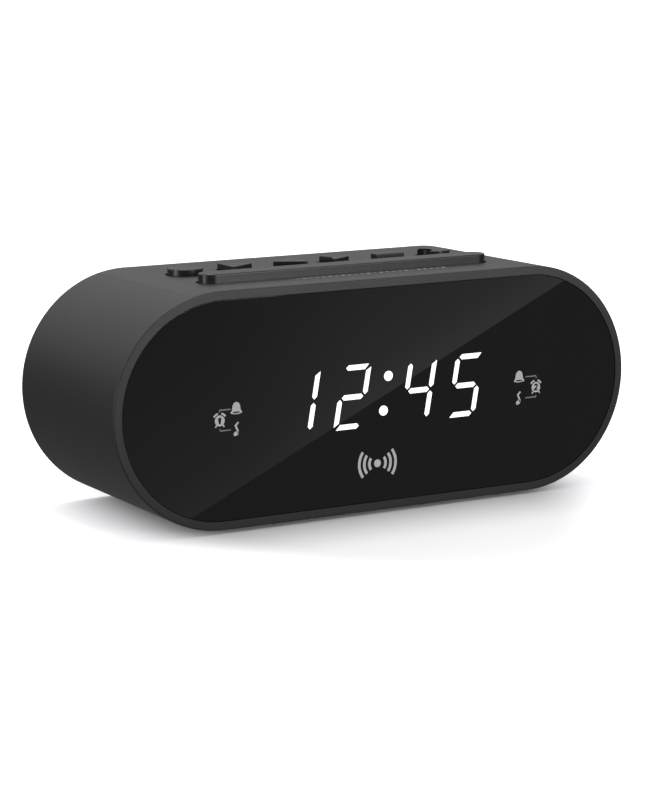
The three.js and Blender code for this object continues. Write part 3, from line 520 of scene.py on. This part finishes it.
def smooth(piece, degrees=32.0):
    """Shades rounded faces smoothly while large flat faces stay flat."""
    for face in piece.data.polygons:
        face.use_smooth = True
    piece.data.set_sharp_from_angle(angle=math.radians(degrees))
    change = piece.modifiers.new("even", "WEIGHTED_NORMAL")
    change.mode = "FACE_AREA"
    change.weight = 100
    change.keep_sharp = True
    settle(piece)
    return piece


def fit(piece, body, slot, *replaced):
    smooth(piece)
    if replaced:
        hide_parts(*replaced)
    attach(piece, body)
    return piece


# ---------- case ----------
def crown(radius, degrees):
    """The top of the tube between the parting lines, outside the given radius."""
    outside = END_RADIUS + 6 * MM
    turn = math.radians(degrees)

    def lift(side, reach):
        return (side * (END_X + reach * math.sin(turn)), MID_Z + reach * math.cos(turn))

    left = arc(-END_X, MID_Z, radius, 90 + degrees, 90, 12)
    right = arc(END_X, MID_Z, radius, 90, 90 - degrees, 12)
    high = TOP_Z + outside
    return [lift(-1, outside)] + left + right + [lift(1, outside), (CASE_HIGH.x, high), (CASE_LOW.x, high)]


def make_case():
    outer = case_outline(END_RADIUS)
    crest = along_y(case_outline(END_RADIUS - CREST_INSET), FRONT_Y)
    body = rounded_rings(outer, along_y, FRONT_Y + RIM_SLOPE, REAR_Y, RIM_ROUND, EDGE_ROUND)
    shell = new_piece("case_moulding", lambda made: loft(made, [crest] + body), "case_plastic")
    ledge_y = LENS_HIGH.y + 0.3 * MM
    hollow_y = ledge_y + 1.6 * MM
    rim = LENS_RADIUS + LENS_CLEARANCE
    half = DOOR_HALF + PARTING_GAP
    door_hole = rectangle(-half, half, DOOR_LOW.y - PARTING_GAP, REAR_Y + 2 * MM)
    inner = END_RADIUS - WALL
    carve(
        shell,
        "DIFFERENCE",
        tool(plate(case_outline(inner), along_y, hollow_y, REAR_Y + 2 * MM)),
        tool(plate(case_outline(rim), along_y, FRONT_Y - 2 * MM, ledge_y)),
        tool(plate(case_outline(rim - LEDGE_WIDTH), along_y, FRONT_Y - 2 * MM, hollow_y + MM)),
        tool(plate(crown(inner - 0.2 * MM, PARTING_DEGREES), along_y, FRONT_Y + RIM_DEPTH, REAR_Y + 2 * MM)),
        tool(plate(door_hole, along_z, CASE_LOW.z - MM, CASE_LOW.z + WALL + MM)),
        *[tool(foot_well(name)) for name in FEET],
    )
    ease(shell, FINE_EASE, 40)
    return fit(shell, "case", "case_plastic", "case_shell")


def foot_well(name):
    x, y, radius = round_node(name, 1)
    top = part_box(name)[1].z + 0.1 * MM
    return plate(hole_ring(x, y, radius + FOOT_CLEARANCE), along_z, CASE_LOW.z - MM, top)


def make_feet():
    """Round rubber feet with a shallow dish underneath."""
    for name in FEET:
        x, y, radius = round_node(name, 1)
        low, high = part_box(name)
        profile = [
            (0.0, high.z),
            (radius, high.z),
            (radius, low.z + 0.5 * MM),
            (radius - 0.15 * MM, low.z + 0.15 * MM),
            (radius - 0.5 * MM, low.z),
            (radius - 1.1 * MM, low.z),
            (radius - 1.4 * MM, low.z + 0.25 * MM),
            (0.0, low.z + 0.3 * MM),
        ]
        foot = new_piece("rubber_" + name, turned(profile, (x, y)), "rubber")
        fit(foot, "case", "rubber", name)


def turned(profile, middle, sides=48):
    """A profile of (radius, z) pairs turned about an upright axis."""

    def maker(made):
        rings = []
        for i in range(sides):
            turn = math.tau * i / sides
            out = (math.cos(turn), math.sin(turn))
            ring = [(middle[0] + radius * out[0], middle[1] + radius * out[1], z) for radius, z in profile]
            rings.append([made.verts.new(point) for point in ring])
        for ring, after in zip(rings, rings[1:] + rings[:1]):
            for k in range(len(profile) - 1):
                made.faces.new((ring[k], ring[k + 1], after[k + 1], after[k]))
        bmesh.ops.remove_doubles(made, verts=made.verts, dist=1e-7)

    return maker


def make_top():
    panel = new_piece(
        "top_moulding",
        plate(case_outline(END_RADIUS), along_y, FRONT_Y, REAR_Y, EDGE_ROUND, EDGE_ROUND),
        "top_plastic",
    )
    gap_degrees = math.degrees(PARTING_GROOVE / END_RADIUS)
    sector = crown(END_RADIUS - PANEL_DEPTH, PARTING_DEGREES - gap_degrees)
    carve(panel, "INTERSECT", tool(plate(sector, along_y, PANEL_LOW.y, REAR_Y + 2 * MM)))
    inner = tool(plate(case_outline(END_RADIUS - WALL), along_y, FRONT_Y - 2 * MM, REAR_Y + 2 * MM))
    openings = [*KEYS.values(), snooze_outline]
    holes = [tool(plate(outline(KEY_GAP), along_z, TOP_Z - 2 * WALL, TOP_Z + MM)) for outline in openings]
    carve(panel, "DIFFERENCE", inner, *holes)
    ease(panel, FINE_EASE, 40)
    return fit(panel, "case", "top_plastic", "top_panel")


# ---------- keys ----------
def round_outline(grow=0.0, x=-39.84 * MM, radius=4.75 * MM):
    return arc(x, KEY_ROW_Y, radius + grow, 0, 354, 59)


def arrow_outline(x, direction, width, grow=0.0, depth=10.2 * MM):
    """A triangle that points right or left, for a direction of 1 or -1."""
    back, tip = x - direction * width / 2, x + direction * width / 2
    corners = [(back, KEY_ROW_Y - depth / 2), (tip, KEY_ROW_Y), (back, KEY_ROW_Y + depth / 2)]
    return softened(grown(corners[::direction], grow), KEY_CORNER + grow)


def notched_outline(grow=0.0, x=6.9 * MM, width=8 * MM, depth=9.8 * MM, notch=2 * MM):
    back = x - width / 2
    near, far = KEY_ROW_Y - depth / 2, KEY_ROW_Y + depth / 2
    corners = [(back, near), (x + width / 2, KEY_ROW_Y), (back, far), (back + notch, KEY_ROW_Y)]
    return softened(grown(corners, grow), KEY_CORNER)


def bar_outline(grow=0.0, x=23 * MM, width=9 * MM, depth=3.5 * MM):
    corners = rectangle(x - width / 2, x + width / 2, KEY_ROW_Y - depth / 2, KEY_ROW_Y + depth / 2)
    return softened(grown(corners, grow), KEY_CORNER + grow)


def crescent_outline(grow=0.0, x=38 * MM, radius=4.6 * MM, bite=3.3 * MM, offset=4.5 * MM):
    """A moon open to the left, with blunt tips."""
    outer, inner = radius + grow, bite - grow
    blunt = 4
    chord = (offset**2 + outer**2 - inner**2) / (2 * offset)
    tip = math.degrees(math.acos(chord / outer)) + blunt
    bite_tip = math.degrees(math.acos((chord - offset) / inner)) + blunt
    back = arc(x, KEY_ROW_Y, outer, tip - 180, 180 - tip, 48)
    hollow = arc(x - offset, KEY_ROW_Y, inner, 180 - bite_tip, bite_tip - 180, 32)
    return back + hollow


KEYS = {
    "round": round_outline,
    "right_arrow": lambda grow=0.0: arrow_outline(-23.64 * MM, 1, 8.6 * MM, grow),
    "left_arrow": lambda grow=0.0: arrow_outline(-9.2 * MM, -1, 8.7 * MM, grow),
    "notched_arrow": notched_outline,
    "bar": bar_outline,
    "crescent": crescent_outline,
}


FLANGE_LOW = CAP_BASE - MM
FLANGE_HIGH = CAP_BASE + 0.2 * MM
KEY_POST = 1.6 * MM
SNOOZE_POST = 2.0 * MM
GUIDE_POST = 1.5 * MM
SNOOZE_EDGE = 0.4 * MM


def make_keys():
    """Each key has a flange under the panel and a post that reaches down towards its switch."""
    for name, outline in KEYS.items():
        low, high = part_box(name + "_button")
        rings = rounded_rings(outline(), along_z, CAP_BASE, high.z, SHARP, KEY_EDGE, 5)
        key = new_piece(name + "_key_cap", lambda made: loft(made, rings), "key_plastic")
        flange = tool(plate(outline(KEY_GAP + FLANGE_REACH), along_z, FLANGE_LOW, FLANGE_HIGH))
        ring = post_ring((low.x + high.x) / 2, KEY_ROW_Y, KEY_POST)
        post = tool(plate(ring, along_z, low.z, CAP_BASE))
        carve(key, "UNION", flange, post)
        fit(key, name + "_key", "key_plastic", name + "_button")


def snooze_outline(grow=0.0):
    radius = SNOOZE_DEPTH / 2
    middle = (SNOOZE_LEFT + SNOOZE_RIGHT) / 2
    return pill((SNOOZE_RIGHT - SNOOZE_LEFT) / 2 - radius, radius + grow, middle, SNOOZE_Y, 32)


def make_snooze():
    """The long bar, with a middle post for the switch and a guide post towards each end."""
    low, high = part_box("snooze_bar")
    rings = rounded_rings(snooze_outline(), along_z, CAP_BASE, high.z, SHARP, SNOOZE_EDGE, 6)
    bar = new_piece("snooze_bar_cap", lambda made: loft(made, rings), "key_plastic")
    flange = tool(plate(snooze_outline(KEY_GAP + FLANGE_REACH), along_z, FLANGE_LOW, FLANGE_HIGH))
    middle = (SNOOZE_LEFT + SNOOZE_RIGHT) / 2
    aside = GUIDE_SHARE * (SNOOZE_RIGHT - SNOOZE_LEFT)
    pusher_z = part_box("snooze_switch")[1].z + SNOOZE_TRAVEL + 0.1 * MM
    sizes = [(0, SNOOZE_POST, pusher_z), (-aside, GUIDE_POST, low.z), (aside, GUIDE_POST, low.z)]
    posts = [
        tool(plate(post_ring(middle + x, SNOOZE_Y, radius), along_z, foot, CAP_BASE))
        for x, radius, foot in sizes
    ]
    carve(bar, "UNION", flange, *posts)
    return fit(bar, "snooze", "key_plastic", "snooze_bar")


# ---------- window, digits and printing ----------
LENS_EDGE = 0.05 * MM


def make_window():
    window = new_piece(
        "display_window",
        plate(case_outline(LENS_RADIUS), along_y, LENS_LOW.y, LENS_HIGH.y, LENS_EDGE, LENS_EDGE),
        "lens_black",
    )
    return fit(window, "case", "lens_black", "front_lens")


DIGIT_HEIGHT = 17 * MM
DIGIT_SPAN = 7.4 * MM
SEGMENT_WIDTH = 1.4 * MM
SEGMENT_GAP = 0.45 * MM
CORNER_REACH = 0.35 * MM
SEGMENT_CORNER = 0.08 * MM
DIGIT_SLANT = 0.179
DIGIT_PITCH = 15.1 * MM
PAIR_PITCH = 35.2 * MM
DIGIT_MID = (0.95 * MM, 0.2 * MM)
LIT_BARS = {"1": "bc", "2": "abged", "4": "fgbc", "5": "afgcd"}
DIGIT_SHIFTS = {"1": -0.2 * MM, "4": 0.3 * MM}
COLON_DOTS = [(1.95, 4.85), (0.4, -4.3)]
COLON_RADIUS = 1.34 * MM


def bar_ends():
    """The end points of the bars a to g about a digit's middle, and which ends have a sharp outer corner.

    The mark is 1 or -1 for the side of the bar, left or right of its direction, that the sharp corner is on.
    """
    x, z = DIGIT_SPAN / 2, (DIGIT_HEIGHT - SEGMENT_WIDTH) / 2
    return {
        "a": ((-x, z), (x, z), 0, 1),
        "b": ((x, 0), (x, z), 0, -1),
        "c": ((x, -z), (x, 0), 0, 0),
        "d": ((-x, -z), (x, -z), -1, 0),
        "e": ((-x, -z), (-x, 0), 1, 0),
        "f": ((-x, 0), (-x, z), 0, 0),
        "g": ((-x, 0), (x, 0), 0, 0),
    }


def segment(ends, middle):
    start, stop, start_corner, stop_corner = ends
    ux, uz = towards(start, stop)
    half = SEGMENT_WIDTH / 2

    def at(end, along, across):
        return (end[0] + ux * along - uz * across, end[1] + uz * along + ux * across)

    near = at(start, SEGMENT_GAP, 0)
    far = at(stop, -SEGMENT_GAP, 0)
    flat = [] if start_corner else [near]
    flat.append(at(near, -CORNER_REACH if start_corner < 0 else half, -half))
    flat.append(at(far, CORNER_REACH if stop_corner < 0 else -half, -half))
    flat += [] if stop_corner else [far]
    flat.append(at(far, CORNER_REACH if stop_corner > 0 else -half, half))
    flat.append(at(near, -CORNER_REACH if start_corner > 0 else half, half))
    return [(middle + x + DIGIT_SLANT * (z + DIGIT_MID[1]), MID_Z + DIGIT_MID[1] + z) for x, z in flat]


def on_window(outlines, coats=1):
    """Thin flat shapes on the face of the window."""
    back, face = LENS_LOW.y + 0.01 * MM, LENS_LOW.y - coats * PRINT_RISE

    def maker(made):
        for outline in outlines:
            loft(made, [along_y(outline, back), along_y(outline, face)])

    return maker


def make_digits():
    steps = [pair * PAIR_PITCH / 2 + side * DIGIT_PITCH / 2 for pair in (-1, 1) for side in (-1, 1)]
    ends = bar_ends()
    for step, (digit, bars) in zip(steps, LIT_BARS.items()):
        place = DIGIT_MID[0] + step + DIGIT_SHIFTS.get(digit, 0.0)
        outlines = [softened(segment(ends[bar], place), SEGMENT_CORNER, 3) for bar in bars]
        piece = new_piece("lit_digit_" + digit, on_window(outlines), "display_white")
        fit(piece, "case", "display_white")
    dots = [arc(x * MM, MID_Z + z * MM, COLON_RADIUS, 0, 350, 35) for x, z in COLON_DOTS]
    fit(new_piece("lit_colon", on_window(dots), "display_white"), "case", "display_white")


def stroke(path, width):
    """The outline of a line of even width."""
    half = width / 2
    left, right = [], []
    for i, (x, z) in enumerate(path):
        ux, uz = towards(path[max(i - 1, 0)], path[min(i + 1, len(path) - 1)])
        if 0 < i < len(path) - 1:
            ax, az = towards(path[i - 1], (x, z))
            bx, bz = towards((x, z), path[i + 1])
            stretch = 1 / max(math.sqrt((1 + ax * bx + az * bz) / 2), 0.3)
        else:
            stretch = 1.0
        left.append((x - uz * half * stretch, z + ux * half * stretch))
        right.append((x + uz * half * stretch, z - ux * half * stretch))
    return right + left[::-1]


def raised_by(outlines, x, z, scale=MM):
    return [[(x + px * scale, MID_Z + z + pz * scale) for px, pz in outline] for outline in outlines]


def arc_shape(radius, width, start, stop, steps=14):
    """A stretch of a ring."""
    outside = arc(0, 0, radius + width / 2, start, stop, steps)
    return outside + arc(0, 0, radius - width / 2, stop, start, steps)


def mirrored(half_outline):
    """Both halves of a shape that is the same on its left and right."""
    return half_outline + [(-x, z) for x, z in half_outline[::-1] if abs(x) > 1e-6]


def bell_outline():
    """A bell with a domed top and a flared mouth."""
    mouth = [(0.0, -1.62), (0.72, -1.58), (1.3, -1.46), (1.66, -1.3), (1.68, -1.08)]
    side = [(1.42, -0.8), (1.22, -0.4), (1.14, 0.3), (0.98, 0.9)]
    dome = [(0.7, 1.28), (0.34, 1.5), (0.0, 1.6)]
    return mirrored(mouth + side + dome)


def bell_mouth():
    """The dark opening under a bell."""
    return [(1.1 * x, 0.2 * z - 1.13) for x, z in arc(0, 0, 1.0, 0, 345, 23)]


def note_shapes():
    """A note with a bent stem."""
    lean = math.radians(35)
    turn, rise = math.cos(lean), math.sin(lean)
    oval = [(0.78 * x, 0.55 * z) for x, z in arc(0, 0, 1.0, 0, 340, 17)]
    head = [(x * turn - z * rise - 0.2, x * rise + z * turn - 1.3) for x, z in oval]
    stem = [(0.48, 1.6), (0.1, 1.2), (-0.32, 0.8), (-0.1, 0.2), (0.3, -0.6), (0.34, -1.2)]
    return [head, stroke(stem, 0.5)]


def clock_shapes():
    """A twin-bell alarm clock: a disc, two bells over it and two feet."""
    shapes = [arc(0, 0, 1.42, 0, 350, 35)]
    for side in (-1, 1):
        shapes.append(stroke([(side * 0.5, 1.86), (side * 1.08, 1.62), (side * 1.68, 1.06)], 0.5))
        shapes.append(stroke([(side * 0.85, -1.05), (side * 1.28, -1.68)], 0.4))
    return shapes


FIGURE_1 = [(-0.4, 0.42), (0.0, 0.68), (0.0, -0.85)]
FIGURE_2_CURVE = [(-0.48, 0.45), (-0.2, 0.75), (0.22, 0.75), (0.45, 0.42), (0.3, 0.05)]
FIGURE_2 = FIGURE_2_CURVE + [(-0.42, -0.68), (0.55, -0.68)]
SYMBOLS = {
    "left": {
        "clock": (-48.25, -2.3),
        "figure": (FIGURE_1, 0.5),
        "bell": (-43.45, 0.6),
        "note": (-43.4, -4.75),
        "high_line": [(-48.35, -0.2), (-48.25, 0.42), (-45.1, 0.42)],
        "low_line": [(-48.3, -4.4), (-48.2, -4.95), (-45.1, -4.95)],
    },
    "right": {
        "clock": (49.05, -2.45),
        "figure": (FIGURE_2, 0.42),
        "bell": (43.5, 1.0),
        "note": (43.43, -4.85),
        "high_line": [(45.55, 0.7), (49.0, 0.7), (49.15, 0.05)],
        "low_line": [(45.55, -5.1), (49.0, -5.1), (49.1, -4.6)],
    },
}
LINE_WIDTH = 0.3


def placed(outlines, place):
    return raised_by(outlines, place[0] * MM, place[1] * MM)


def make_symbols():
    """At each side of the digits an alarm clock is joined by thin lines to a bell and a note."""
    for side, group in SYMBOLS.items():
        printed = placed(clock_shapes(), group["clock"])
        printed += placed([bell_outline()], group["bell"]) + placed(note_shapes(), group["note"])
        fit(new_piece(side + "_symbols", on_window(printed), "print_grey"), "case", "print_grey")
        paths = (group["high_line"], group["low_line"])
        thin = raised_by([stroke(path, LINE_WIDTH) for path in paths], 0, 0)
        fit(new_piece(side + "_symbol_lines", on_window(thin), "print_dim"), "case", "print_grey")
        dark = placed([stroke(*group["figure"])], group["clock"]) + placed([bell_mouth()], group["bell"])
        fit(new_piece(side + "_symbol_gaps", on_window(dark, 2), "lens_black"), "case", "lens_black")


def make_wave_mark():
    """A plain radio-wave pictogram: a dot between two sets of three arcs."""
    shapes = [arc(0, 0, 1.05, 0, 348, 29)]
    for radius in (2.5, 4.05, 5.6):
        shapes += [arc_shape(radius, 0.8, -37, 37), arc_shape(radius, 0.8, 143, 217)]
    mark = on_window(raised_by(shapes, -1.5 * MM, -18.3 * MM))
    fit(new_piece("wave_mark", mark, "print_grey"), "case", "print_grey")


def on_top(outlines):
    """Thin flat shapes on the crown of the panel."""

    def maker(made):
        for outline in outlines:
            loft(made, [along_z(outline, TOP_Z - 0.02 * MM), along_z(outline, TOP_Z + PRINT_RISE)])

    return maker


def small_bar(x, y, width, depth):
    return rectangle(x - width / 2, x + width / 2, y - depth / 2, y + depth / 2)


TICK_COUNT = 24
TICK_START = -19.5 * MM
TICK_PITCH = 1.96 * MM
TICK_WIDTHS = (0.7 * MM, 1.05 * MM)
TICK_DEPTHS = (0.8 * MM, 1.25 * MM, 1.25 * MM)
TICK_ROW_Y = FRONT_Y + 10.5 * MM
MARK_GROUPS = (-39.6, -23.3, -8.8, 6.9, 23.0, 38.0)
MARK_PITCH = 1.8 * MM
MARK_SIZE = (1.1 * MM, 0.6 * MM)
MARK_ROW_Y = KEY_ROW_Y + 9.0 * MM


def make_top_printing():
    """A row of short ticks before the snooze bar, and three dashes behind each key."""
    ticks = []
    for i in range(TICK_COUNT):
        x = TICK_START + TICK_PITCH * i
        ticks.append(small_bar(x, TICK_ROW_Y, TICK_WIDTHS[i % 2], TICK_DEPTHS[i % 3]))
    fit(new_piece("snooze_ticks", on_top(ticks), "panel_print"), "case", "print_grey")
    places = [x * MM + MARK_PITCH * i for x in MARK_GROUPS for i in (-1, 0, 1)]
    marks = [small_bar(x, MARK_ROW_Y, *MARK_SIZE) for x in places]
    fit(new_piece("key_marks", on_top(marks), "mark_print"), "case", "print_grey")


# ---------- back and underside ----------
GRILLE_RADIUS = 16 * MM
SLOT_PITCH = 3.4 * MM
SLOT_HALF = 0.8 * MM
SCREW_SINK = 1.5 * MM
SCREW_SHANK = 1.4 * MM
TONGUE_LOW = CASE_LOW.z + 0.75 * MM
TONGUE_HIGH = TONGUE_LOW + 0.7 * MM
GRIP_COUNT = 4
GRIP_START = 4 * MM
GRIP_PITCH = 2.4 * MM
GRIP_HALF = 8.4 * MM
GRIP_WIDTH = 0.6 * MM


def make_back():
    """The back cover, with sound slots over the speaker, two cable holes and four sunk screw holes."""
    cover = new_piece(
        "back_cover",
        plate(case_outline(COVER_RADIUS), along_y, COVER_LOW.y, COVER_HIGH.y, 1e-5, 0.3 * MM),
        "case_plastic",
    )
    speaker_low, speaker_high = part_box("speaker_frame")
    speaker_x = (speaker_low.x + speaker_high.x) / 2
    through = COVER_LOW.y - MM
    cutters = []
    for row in range(-4, 5):
        z = row * SLOT_PITCH
        half = math.sqrt(GRILLE_RADIUS**2 - z**2) - SLOT_HALF
        slot = pill(half, SLOT_HALF, speaker_x, MID_Z + z, 10)
        cutters.append(tool(plate(slot, along_y, through, REAR_Y + MM)))
    for name in ("cable_gland", "aerial_gland"):
        x, z, radius = round_node(name, 2)
        cutters.append(tool(plate(hole_ring(x, z, radius - MM), along_y, through, REAR_Y + MM)))
    for i in range(1, 5):
        x, z, radius = round_node(f"rear_screw_{i}", 2)
        sink = hole_ring(x, z, radius + 0.2 * MM)
        cutters.append(tool(plate(sink, along_y, COVER_HIGH.y - SCREW_SINK, REAR_Y + MM)))
        cutters.append(tool(plate(post_ring(x, z, SCREW_SHANK), along_y, through, REAR_Y + MM)))
    carve(cover, "DIFFERENCE", *cutters)
    ease(cover, 0.15 * MM, 50)
    return fit(cover, "case", "case_plastic", "rear_cover")


def make_door():
    """The battery door, with a tongue at each side and grip grooves near its outer edge."""
    outline = rectangle(-DOOR_HALF, DOOR_HALF, DOOR_LOW.y, REAR_Y)
    lid = plate(outline, along_z, DOOR_LOW.z, DOOR_HIGH.z, 0.2 * MM, 0.1 * MM)
    door = new_piece("battery_lid", lid, "case_plastic")
    tongue = rectangle(DOOR_LOW.x, DOOR_HIGH.x, DOOR_LOW.y, REAR_Y - 2 * MM)
    carve(door, "UNION", tool(plate(tongue, along_z, TONGUE_LOW, TONGUE_HIGH)))
    grips = []
    for i in range(GRIP_COUNT):
        y = REAR_Y - GRIP_START - GRIP_PITCH * i
        groove = pill(GRIP_HALF, GRIP_WIDTH, 0.0, y, 8)
        grips.append(tool(plate(groove, along_z, DOOR_LOW.z - MM, DOOR_LOW.z + 0.5 * MM)))
    carve(door, "DIFFERENCE", *grips)
    ease(door, 0.1 * MM, 50)
    return fit(door, "door", "case_plastic", "battery_door")


# ---------- studio ----------
VIEW_TURN = math.radians(29.59)
VIEW_TILT = math.radians(10.16)
VIEW_ROLL = math.radians(-0.40)
VIEW_DISTANCE = 661.8 * MM
VIEW_SIDESTEP = 15.83 * MM
VIEW_RISE = 2.30 * MM
FOCAL_LENGTH = 111.9
FLOOR_REACH = 14.0
SHADOW_REACH = (0.059, 0.1)
CARD_DISTANCE = 420 * MM
CARD_EDGE = [(-110.0, -51.4), (115.0, 52.6)]
CARD_REACH = 78.0
CARD_STOPS = [(0.0, 0.48), (0.12, 0.32), (0.45, 0.17), (1.0, 0.07)]
LAMP_AIM = (0, 0, 0.04)


def camera_axes():
    level = math.cos(VIEW_TILT)
    back = Vector((-math.sin(VIEW_TURN) * level, -math.cos(VIEW_TURN) * level, math.sin(VIEW_TILT)))
    right = (-back).cross(Vector((0, 0, 1))).normalized()
    up = right.cross(-back)
    turn, lean = math.cos(VIEW_ROLL), math.sin(VIEW_ROLL)
    return right * turn + up * lean, up * turn - right * lean, back


def make_camera():
    right, up, back = camera_axes()
    target = Vector((0, FRONT_Y, MID_Z))
    place = target + back * VIEW_DISTANCE - right * VIEW_SIDESTEP - up * VIEW_RISE
    data = bpy.data.cameras.new("camera")
    data.sensor_width = 36.0
    data.lens = FOCAL_LENGTH
    data.clip_start = 0.01
    camera = bpy.data.objects.new("camera", data)
    camera.matrix_world = Matrix((right, up, back)).transposed().to_4x4()
    camera.location = place
    bpy.context.scene.collection.objects.link(camera)
    bpy.context.scene.camera = camera
    return place


def make_floor():
    """A white floor whose own glow rises with distance, so that only the contact shadow stays dark."""
    mesh = bpy.data.meshes.new("floor")
    corners = along_z(rectangle(-FLOOR_REACH, FLOOR_REACH, -FLOOR_REACH, FLOOR_REACH), 0)
    mesh.from_pydata(corners, [], [(0, 1, 2, 3)])
    floor = bpy.data.objects.new("floor", mesh)
    bpy.context.scene.collection.objects.link(floor)
    floor.visible_glossy = False
    floor.visible_diffuse = False
    made = bpy.data.materials.new("studio_white")
    made.use_nodes = True
    shader = made.node_tree.nodes["Principled BSDF"]
    shader.inputs["Base Color"].default_value = (0.95, 0.95, 0.95, 1)
    shader.inputs["Roughness"].default_value = 1.0
    shader.inputs["Specular IOR Level"].default_value = 0.0
    shader.inputs["Emission Strength"].default_value = 0.6
    graph = Graph(made.node_tree)
    stretch = (1 / SHADOW_REACH[0], 1 / SHADOW_REACH[1], 1.0)
    spread = graph.add("ShaderNodeMapping", Vector=graph.place(), Scale=stretch)
    away = graph.add("ShaderNodeVectorMath", {"operation": "LENGTH"}, spread, output=1)
    glow = graph.blend(away.over(1.06, 0.26), grey(0.0), grey(1.0))
    graph.feed(shader.inputs["Emission Color"], glow)
    mesh.materials.append(made)


def make_reflector(camera_place):
    """A graded card that the window mirrors: its lower edge shows as a slanting line."""
    mirrored = Vector((camera_place.x, 2 * LENS_LOW.y - camera_place.y, camera_place.z))
    card_y = FRONT_Y - CARD_DISTANCE

    def behind_glass(x, z):
        spot = Vector((x * MM, LENS_LOW.y, MID_Z + z * MM))
        reach = (card_y - mirrored.y) / (spot.y - mirrored.y)
        return mirrored + (spot - mirrored) * reach

    slope = towards(*CARD_EDGE)
    far = [(x - slope[1] * CARD_REACH, z + slope[0] * CARD_REACH) for x, z in CARD_EDGE]
    corners = [behind_glass(x, z) for x, z in CARD_EDGE + far[::-1]]
    mesh = bpy.data.meshes.new("reflector")
    mesh.from_pydata([tuple(corner) for corner in corners], [], [(0, 1, 2, 3)])
    layer = mesh.uv_layers.new(name="grade")
    for loop, uv in zip(layer.data, [(0, 0), (1, 0), (1, 1), (0, 1)]):
        loop.uv = uv
    card = bpy.data.objects.new("reflector", mesh)
    bpy.context.scene.collection.objects.link(card)
    card.visible_camera = False
    card.visible_diffuse = False
    card.visible_shadow = False
    made = bpy.data.materials.new("reflector_glow")
    made.use_nodes = True
    tree = made.node_tree
    tree.nodes.remove(tree.nodes["Principled BSDF"])
    graph = Graph(tree)
    place = graph.add("ShaderNodeTexCoord", output=2)
    across = graph.add("ShaderNodeSeparateXYZ", None, place, output=1)
    along = graph.add("ShaderNodeSeparateXYZ", None, place, output=0)
    stops = [(where, grey(shade)) for where, shade in CARD_STOPS]
    level = graph.add("ShaderNodeValToRGB", {"stops": stops}, across)
    faded = graph.blend(0.55 + along.over(0.42, 0.12) * 0.45, grey(0.0), level)
    glow = graph.add("ShaderNodeEmission", None, faded, 1.0)
    tree.links.new(glow.socket, tree.nodes["Material Output"].inputs["Surface"])
    mesh.materials.append(made)


FRONT_SKY = [(-1.0, 0.10), (-0.35, 0.06), (-0.02, 0.06), (0.2, 0.24), (0.56, 0.50), (1.0, 0.72)]
REAR_SKY = [(-1.0, 0.28), (-0.45, 0.24), (-0.2, 0.08), (0.06, 0.02), (0.26, 0.58), (0.5, 1.0), (1.0, 0.72)]


def sky_stops(levels):
    """Ramp stops for brightness against height, which runs from -1 straight down to 1 straight up."""
    return [((height + 1) / 2, grey(level)) for height, level in levels]


def make_world():
    """A bright sky over a dim horizon, white only where the camera looks straight at it."""
    world = bpy.data.worlds.new("studio")
    world.use_nodes = True
    bpy.context.scene.world = world
    tree = world.node_tree
    graph = Graph(tree)
    direction = graph.add("ShaderNodeTexCoord", output=0)
    height = graph.add("ShaderNodeSeparateXYZ", None, direction, output=2)
    depth = graph.add("ShaderNodeSeparateXYZ", None, direction, output=1)
    front = graph.add("ShaderNodeValToRGB", {"stops": sky_stops(FRONT_SKY)}, height * 0.5 + 0.5)
    rear = graph.add("ShaderNodeValToRGB", {"stops": sky_stops(REAR_SKY)}, height * 0.5 + 0.5)
    sky = graph.add("ShaderNodeBackground", None, graph.blend(depth.over(0.0, 0.3), front, rear), 1.0)
    white = graph.add("ShaderNodeBackground", None, (1, 1, 1, 1), 1.0)
    seen = graph.add("ShaderNodeLightPath", output=0)
    mixed = graph.add("ShaderNodeMixShader", None, seen, sky, white)
    tree.links.new(mixed.socket, tree.nodes["World Output"].inputs["Surface"])


def add_lamp(name, place, size, power):
    data = bpy.data.lights.new(name, "AREA")
    data.shape = "RECTANGLE"
    data.size, data.size_y = size
    data.energy = power
    lamp = bpy.data.objects.new(name, data)
    lamp.location = place
    lamp.rotation_euler = (Vector(LAMP_AIM) - Vector(place)).to_track_quat("-Z", "Y").to_euler()
    bpy.context.scene.collection.objects.link(lamp)


def make_lights():
    add_lamp("overhead", (0.0, 0.45, 2.2), (0.9, 0.9), 18.0)
    add_lamp("left_strip", (-1.3, 0.0, 0.16), (0.17, 0.28), 5.5)
    add_lamp("front_box", (0.52, -1.38, 0.28), (0.34, 0.3), 9.3)


bpy.context.scene.view_settings.view_transform = "Standard"
make_materials()
dress_frame()
make_case()
make_top()
make_feet()
make_keys()
make_snooze()
make_window()
make_digits()
make_symbols()
make_wave_mark()
make_top_printing()
make_back()
make_door()
camera_place = make_camera()
make_floor()
make_reflector(camera_place)
make_world()
make_lights()
